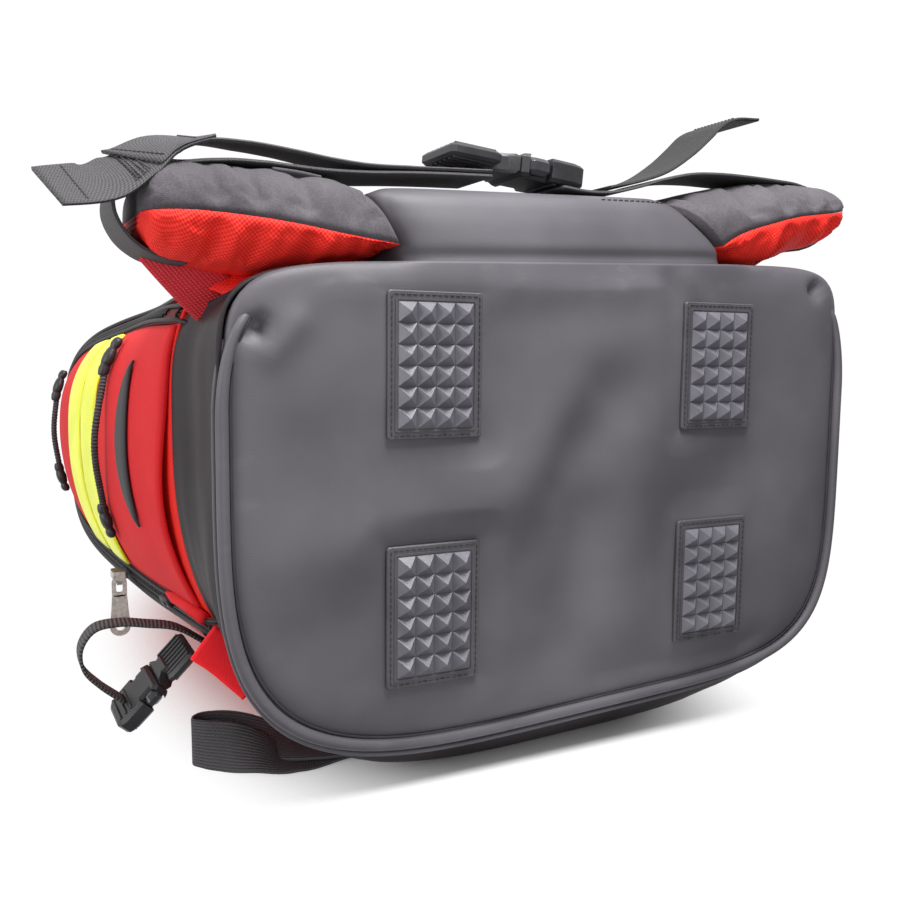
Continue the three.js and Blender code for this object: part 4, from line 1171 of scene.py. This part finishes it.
def make_buckle(name, size):
    matrix = (axes_from(size.along, size.across), size.centre)
    start, end, reach = -size.length / 2, size.length / 2, size.length
    seam = start + reach * size.split
    half, t = size.width / 2, size.thickness / 2
    prong = Form()
    plate = mirrored([(start, half * 0.84), (start + reach * 0.03, half * 0.97),
                      (start + reach * 0.3, half), (start + reach * 0.35, half * 0.9)])
    prong.prism(plate, -t * 0.5, t * 0.6, matrix, 1.6)
    for share in np.linspace(-0.78, 0.78, 7):
        ridge = rounded_outline(reach * 0.29, size.width * 0.055, 0.5) + (start + reach * 0.175, share * half)
        prong.prism(ridge, t * 0.5, t * 0.74, matrix, 0.3)
        prong.prism(ridge, -t * 0.64, -t * 0.4, matrix, 0.3)
    neck = mirrored([(start + reach * 0.26, half * 0.56), (start + reach * 0.34, half * 0.5),
                     (seam - reach * 0.07, half * 0.66), (seam - 0.4, half * 0.86)])
    prong.prism(neck, -t * 0.86, t * 0.86, matrix, 1.8)
    for side in (-1, 1):
        arm = rounded_outline(reach * 0.17, size.width * 0.2, size.width * 0.095, 7)
        arm = arm + (seam + reach * 0.125, side * half * 0.84)
        prong.prism(arm, -t * 0.74, t * 0.74, matrix, 2.2, finish=1)
    prong.make(f"{name}_prong_half", [black_plastic, gloss_black], "black_plastic", [f"{name}_prong"],
               bevel=0.7)

    socket = Form()
    bar, window = reach * 0.045, reach * 0.17
    outline = mirrored([
        (seam, half * 0.9), (seam + bar, half), (seam + bar, half * 0.7), (seam + bar + window, half * 0.7),
        (seam + bar + window, half), (end - reach * 0.1, half * 0.97), (end - reach * 0.03, half * 0.86),
        (end, half * 0.66)])
    socket.prism(outline, -t, t, matrix, 1.8)
    for share in (0.78, 0.85, 0.92):
        rib = rounded_outline(reach * 0.03, size.width * 0.74, 0.7) + (start + reach * share, 0)
        socket.prism(rib, t * 0.8, t + 0.9, matrix, 0.4)
        socket.prism(rib, -t - 0.9, -t * 0.8, matrix, 0.4)
    socket.make(f"{name}_socket_half", [black_plastic], "black_plastic", [f"{name}_socket"], bevel=0.7)


# Side pockets: bulged panel, zip with its tape and coil, and black rails round the edge
POCKET = SimpleNamespace(start=70, round=100, reach=320, middle=150, half=88, inset=15, bulge=5, swell=60)
ZIP_LIFT = 4
# Insets of the zip's tape, of the cords along its edges and of its teeth
TAPE_INSETS = (14, 11.5, 8, 5.2)
CORD_INSETS = (12.9, 6.3)
TEETH_INSET = 9.6
TOOTH_PITCH = 2.3
# Rails round the pocket: inset, lift and radius
RAILS = ((1.2, 3.4, 2.3), (-2.2, 2.6, 1.8))
# A zip tooth: places across the zip and up from it
TOOTH = np.array([(-0.6, 0.1), (0.5, 0.75), (1.9, 0.65), (2.6, -0.1)])


def pocket_edge(y, inset):
    t = np.maximum(y - POCKET.round, 0) / (POCKET.reach - inset)
    return (POCKET.half - inset) * np.sqrt(np.maximum(1 - t * t, 0))


def pocket_lift(y, z):
    edge = pocket_edge(y, POCKET.inset)
    across = 1 - np.minimum(np.abs(z - POCKET.middle) / np.maximum(edge, 1), 1) ** 2
    along = np.clip((y - POCKET.start) / POCKET.swell, 0, 1)
    return SEAT + CLOTH + POCKET.bulge * across * np.sqrt(along)


def pocket_point(side, y, z, lift):
    y, z = np.broadcast_arrays(np.asarray(y, float), np.asarray(z, float))
    return side_point(side, y, z, pocket_lift(y, z) + lift)


def edge_line(side, inset, lift, count=150):
    """Line along the pocket's edge, from under the base band round its far end and back."""
    turn = np.concatenate([[-2, -1], np.linspace(0, 1, count), [2, 3]])
    angle = (np.clip(turn, 0, 1) - 0.5) * np.pi
    y = POCKET.round + (POCKET.reach - inset) * np.cos(angle)
    y[[0, -1]] = POCKET.start - 10
    y[[1, -2]] = POCKET.start + 2
    z = POCKET.middle + (POCKET.half - inset) * np.sin(angle)
    lifts = np.full(len(turn), float(lift))
    lifts[[0, -1]] = -2
    return side_point(side, y, z, lifts)


def make_pockets():
    for name, side in SIDES:
        inner = POCKET.reach - POCKET.inset
        rise = np.sin(np.linspace(0, np.pi / 2 - 0.1, 72))
        across = np.linspace(-1, 1, 49)[None, :]
        start = POCKET.start + 13 * smooth(-across, -0.7, 0.5)
        y = start + (POCKET.round + inner - start) * rise[:, None]
        z = POCKET.middle + pocket_edge(y, POCKET.inset) * across
        outer = pocket_point(side, y, z, 0)
        normals = pocket_point(side, y, z, 1) - outer
        waves = ripple(outer * np.array([1, 1, 0.35]), 30, 3) * 0.5 - 0.5
        form = Form().grid(outer + normals * waves[..., None], inside=BAG_MIDDLE)
        form.make(f"pocket_panel_{name}", [red_smooth], "red_coated", [f"side_pocket_{name}"],
                  thickness=CLOTH)
        make_zip(name, side)
        make_reflective_band(name, side)


def make_zip(name, side):
    form = Form()
    tape, under = (np.stack([edge_line(side, inset, lift) for inset in TAPE_INSETS], axis=1)
                   for lift in (ZIP_LIFT - 1.6, SEAT))
    form.slab(tape, under)
    for inset in CORD_INSETS:
        form.tube(edge_line(side, inset, ZIP_LIFT - 0.9), 1.3, 8, 1)
    dense = edge_line(side, TEETH_INSET, ZIP_LIFT - 1.2, 1200)
    lifted = edge_line(side, TEETH_INSET, ZIP_LIFT - 0.2, 1200)
    along = distance_along(dense)
    for tooth, start in enumerate(np.arange(along[1], along[-2], TOOTH_PITCH)):
        k = int(np.searchsorted(along, start))
        run = dense[min(k + 1, len(dense) - 1)] - dense[k - 1]
        run /= np.linalg.norm(run)
        up = lifted[k] - dense[k]
        across = np.cross(run, up) * (1 if tooth % 2 else -1)
        form.tube(dense[k] + TOOTH @ np.array([across, up]), 0.75, 6, 1)
    form.make(f"zip_{name}", [zip_tape, black_coil], "black_webbing", [f"pocket_zip_{name}"])
    roll = Form()
    line = edge_line(side, 14.5, ZIP_LIFT - 0.4, 600)[1:23]
    roll.tube(line, 3.2 * np.minimum(1, np.linspace(2.2, 0.3, len(line))), 12)
    roll.make(f"pocket_roll_{name}", [red_smooth], "red_coated")
    rails = Form()
    for inset, lift, size in RAILS:
        line = edge_line(side, inset, lift)
        slim = smooth(np.linspace(0, 1, len(line)), 0.3, 0.6)
        rails.tube(line, size * (1 - 0.35 * slim), 10)
    rails.make(f"pocket_rails_{name}", [black_coil], "black_plastic", [f"pocket_piping_{name}"])


# Reflective band: two stripes with a red line between them
BAND_STRIPES = [(190, 221), (225, 256)]


def make_reflective_band(name, side):
    form = Form()
    for start, end in BAND_STRIPES:
        y = np.linspace(start, end, 9)[:, None]
        z = POCKET.middle + (pocket_edge(y, POCKET.inset) - 2) * np.linspace(-1, 1, 41)[None, :]
        crown = 0.5 * np.sin(np.linspace(0, np.pi, 9))[:, None] ** 0.5
        form.slab(pocket_point(side, y, z, SEAT + 0.7 + crown), pocket_point(side, y, z, 0.1))
    form.make(f"reflective_stripes_{name}", [yellow_tape], "reflective_yellow", [f"reflective_band_{name}"])


# Grips: ribbed cords with a moulded clip at each end
GRIPS = [
    SimpleNamespace(y=(170, 166, 180), z=(199, 158, 118), bow=3),
    SimpleNamespace(y=(326, 328, 326), z=(178, 152, 126), bow=0.5),
]
GRIP_RADIUS = 2.0
GRIP_RIB = 2.4


def make_grips():
    for name, side in SIDES:
        for number, grip in enumerate(GRIPS, 1):
            lift = np.array([0, grip.bow, 0]) + GRIP_RADIUS + SEAT
            ends = pocket_point(side, np.array(grip.y), np.array(grip.z), lift)
            line, _, _ = route(ends, 70)
            radius = GRIP_RADIUS * (0.95 + 0.07 * np.sin(distance_along(line) * 2 * np.pi / GRIP_RIB))
            form = Form().tube(line, radius, 12)
            form.make(f"grip_{name}_{number}", [black_ribbed], "black_webbing",
                      [f"grip_cord_{name}_{number}"])
            for end, (k, outward) in enumerate(((0, 1), (2, -1))):
                make_clip(f"{name}_{number}{'ab'[end]}", side, grip.y[k], grip.z[k], outward)


CLIP = Table(
    "along width height",
    (-5, 2.2, 2.2), (-4, 2.9, 2.8), (-1, 3.4, 3.2), (0.4, 3.2, 2.8), (2, 4.4, 3.2), (5, 4.8, 3.3),
    (8, 3.9, 2.8), (9.4, 3.5, 2.2), (11, 4.1, 2.8), (13.4, 3.9, 2.6), (14.6, 2.4, 1.6),
)
CLIP_LIFT = 2.4


def make_clip(label, side, y, z, outward):
    """Teardrop clip: thick round the cord, with a ring groove and a flat rounded tail."""
    turn = full_turn(16)[:, None]
    aside = np.array([0, 1, 0])
    rows = []
    for place in np.linspace(CLIP.key[0], CLIP.key[-1], 36):
        s = CLIP.at(place)
        level = z + outward * (SEAT + place)
        base = pocket_point(side, y, level, SEAT + CLIP_LIFT)
        up = pocket_point(side, y, level, SEAT + CLIP_LIFT + 1) - base
        rows.append(base + aside * s.width * np.cos(turn) + up * s.height * np.sin(turn))
    form = Form().grid(np.array(rows), wrap=True, caps=True)
    form.make(f"clip_{label}", [black_plastic], "black_plastic", [f"grip_clip_{label}"])


# Crescent patch on the left pocket
PATCH = SimpleNamespace(y=118, bow=12, half=9, start=118, end=205)


def make_patch():
    t = np.linspace(-1, 1, 41)[:, None]
    across = np.linspace(-1, 1, 13)[None, :]
    swell = 1 - t * t
    half = np.maximum(PATCH.half * swell, 0.8)
    z = (PATCH.start + PATCH.end) / 2 + (PATCH.end - PATCH.start) / 2 * t + 0 * across
    y = PATCH.y + PATCH.bow * swell + half * across
    crown = 0.5 + 0.9 * np.clip((1 - np.abs(across)) * 4, 0, 1) * np.clip((1 - np.abs(t)) * 12, 0, 1)
    form = Form().slab(pocket_point(-1, y, z, SEAT + crown), pocket_point(-1, y, z, 0.2))
    form.make("crescent_patch", [patch_grey], "black_plastic", ["side_patch"])


def make_zip_ends():
    form = Form()
    turn, inset, lift = 0.036, 10, ZIP_LIFT + 1.6
    angle = (turn - 0.5) * np.pi
    y = POCKET.round + (POCKET.reach - inset) * math.cos(angle)
    z = POCKET.middle + (POCKET.half - inset) * math.sin(angle)
    centre = side_point(-1, y, z, lift)
    up = side_point(-1, y, z, lift + 1) - centre
    ahead = edge_line(-1, inset, lift, 400)
    run = ahead[16] - ahead[12]
    axes = axes_from(run, np.cross(up, run))
    form.prism(rounded_outline(13, 7, 2.5), -1.6, 1.6, (axes, centre), 0.8)
    form.prism(rounded_outline(5, 4, 1.5), 0.8, 2.4, (axes, centre), 0.6)
    form.make("zip_end_stop", [black_plastic], "black_plastic", ["zip_stop"], bevel=0.4)
    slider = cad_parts["zip_slider"]
    slider.data.materials.clear()
    slider.data.materials.append(zip_silver)


PULL = SimpleNamespace(centre=(-207.5, 204), top=69.5, thickness=1.5)


def make_pull():
    """Flat metal pull: eye over the slider's bridge, tapered plate and a round end with a hole."""
    matrix = (FACE_OUT, (*PULL.centre, PULL.top))
    t = PULL.thickness / 2
    form = Form()
    eye = rounded_outline(9, 12, 2.6, 5) + (0, -6)
    end = rounded_outline(12.4, 12, 5.9, 8) + (0, -31)
    holes = (rounded_outline(4, 7, 1.4, 5) + (0, -5.6), rounded_outline(5, 5, 2.4, 8) + (0, -31.4))
    for outer, inner in zip((eye, end), holes):
        rows = stacked(((outer, -t), (outer, t), (inner, t), (inner, -t), (outer, -t)))
        form.grid(placed(rows, matrix), wrap=True, inside=(*PULL.centre, 50))
    plate = mirrored([(-10.5, 4.4), (-20, 5.1), (-27.5, 5.9)])[:, ::-1]
    form.prism(plate, -t, t, matrix, 0.2)
    form.make("zip_pull_plate", [zip_silver], "zip_metal", ["zip_pull"], bevel=0.3, body="pull")


# Small straps and tabs
SIDE_STRAP_ROWS = [
    tuple(side_point(-1, 90, 61.5, 7.6)), (-195, 91, 67.2), (-209, 93, 70), (-223, 94, 72), (-235, 95, 70),
    (-241.5, 95, 61), (-240.5, 95, 50), (-233.5, 95, 41), (-221.5, 94.5, 30.6),
]
FLOOR_LOOP_ROWS = [
    (-89, 60, -3.5, 90), (-115, 62, -3.5, 90), (-143, 57, -2.8, 88), (-160, 60, 4, 58), (-174, 65, 7.6, 24),
    (-185, 71, 8.6, 6), (-189.5, 76.5, 8.7), (-186, 82, 8.8, -4), (-174, 80, 8.6, -18), (-160, 74, 6.6, -44),
    (-146, 68, 3.2, -70), (-130, 63, -0.4, -86), (-112, 60, -1.2, -90), (-96, 60, -0.5, -90),
]
LOW_TAB_ROWS = [(-163, 51, 44), (-170, 53, 51), (-178, 55.5, 59), (-188, 58, 67)]
HIGH_TAB_ROWS = [(-180, 49, 234), (-187, 50, 241), (-196, 52, 251), (-205, 55, 262)]
WALL_STRAP = SimpleNamespace(y=(50, 74), z=(42, 28), lift=1.3)


def make_tab(node, rows, width, axis, material):
    """Short tab of doubled webbing with a soft bulge."""
    grid, _ = sweep(rows, pad_section(width, 2 * WEBBING, 9), axis, 8)
    form = Form().grid(grid, wrap=True, caps=True)
    form.make(f"{node}_fold", [material], "red_webbing", [node])


def make_small_straps():
    make_strap("side_loop", SIDE_STRAP_ROWS, LOOP_WIDTH, ["side_strap"], finishes=[black_ribbed])
    make_strap("floor_strap", FLOOR_LOOP_ROWS, WEB_WIDTH, ["floor_loop"], axis=(0, 0, 1))
    # The low tab's red is partly painted light.
    make_tab("red_tab_low", LOW_TAB_ROWS, 20, (0.69, 0, 0.72), vivid_red_tab_and_painted_light)
    make_tab("red_tab_high", HIGH_TAB_ROWS, 26, (-0.8, 0.3, -0.6), red_ribbed)
    level = np.linspace(*WALL_STRAP.z, 13)[:, None]
    y = np.linspace(*WALL_STRAP.y, 9)[None, :]
    form = Form()
    form.slab(side_point(-1, y, level, WALL_STRAP.lift + WEBBING), side_point(-1, y, level, WALL_STRAP.lift))
    form.make("wall_strap", [black_strap], "black_webbing", ["tab_strap"])


# Pale floor and soft studio light, with lamps by place in the bag frame, size in metres and power
FLOOR_HALF = 2.0
FLOOR_GREY = (0.72, 0.72, 0.72, 1)
FLOOR_SQUEEZE = (2, 1, 1)
FLOOR_FADE = (0.24, 0.42)
LAMPS = [
    ("key", (-40, -210, 800), 0.3, 8.4),
    ("overhead", (-100, 150, 1300), 1.3, 1.2),
    ("side", (-1300, -100, 400), 0.8, 9),
    ("front", (-150, -800, 60), 0.5, 2.4),
]


def make_stage():
    mesh = bpy.data.meshes.new("floor")
    corners = [(x * FLOOR_HALF, y * FLOOR_HALF, 0) for x, y in ((-1, -1), (1, -1), (1, 1), (-1, 1))]
    mesh.from_pydata(corners, [], [(0, 1, 2, 3)])
    floor = bpy.data.objects.new("floor", mesh)
    pale = bpy.data.materials.new("pale_floor")
    pale.use_nodes = True
    tree = pale.node_tree
    wire = Wire(tree)
    place = wire.node("TexCoord", None, None, out="Object")
    narrow = wire.node("VectorMath", {"operation": "MULTIPLY"}, {0: place, 1: FLOOR_SQUEEZE})
    reach = wire.node("VectorMath", {"operation": "LENGTH"}, {0: narrow}, out="Value")
    clear = wire.node("BsdfTransparent")
    matt = wire.node("BsdfDiffuse", None, {"Color": FLOOR_GREY})
    blend = wire.node("MixShader", None, {0: reach.between(*FLOOR_FADE), 1: matt, 2: clear})
    tree.links.new(blend.socket, tree.nodes["Material Output"].inputs["Surface"])
    mesh.materials.append(pale)
    bpy.context.scene.collection.objects.link(floor)
    world = bpy.data.worlds.new("studio")
    world.use_nodes = True
    tree = world.node_tree
    room = Wire(tree).node("SeparateXYZ", None, {0: Wire(tree).node("TexCoord", None, None, out="Generated")})
    strength = 0.3 + room.other(1).between(-0.1, 0.5) * 0.72 + room.other(2).between(0.3, 0.95) * 0.35
    tree.links.new(strength.socket, tree.nodes["Background"].inputs["Strength"])
    tree.nodes["Background"].inputs["Color"].default_value = (1, 1, 1, 1)
    bpy.context.scene.world = world
    bpy.context.scene.view_settings.view_transform = "Standard"
    for name, place, size, power in LAMPS:
        data = bpy.data.lights.new(name, "AREA")
        data.size = size
        data.energy = power
        lamp = bpy.data.objects.new(name, data)
        lamp.location = metres(place)
        aim = Vector(metres(BAG_MIDDLE)) - lamp.location
        lamp.rotation_euler = aim.to_track_quat("-Z", "Y").to_euler()
        bpy.context.scene.collection.objects.link(lamp)


make_camera()
make_base()
make_base_piping()
make_base_band()
make_pads()
make_body()
make_top()
make_back_panel()
make_lumbar()
make_shoulder_straps()
make_wings()
make_hip_webbing()
make_buckle("hip_buckle", HIP_BUCKLE)
make_buckle("side_buckle", SIDE_BUCKLE)
make_pockets()
make_grips()
make_patch()
make_zip_ends()
make_pull()
make_small_straps()
make_stage()
swell_padding()
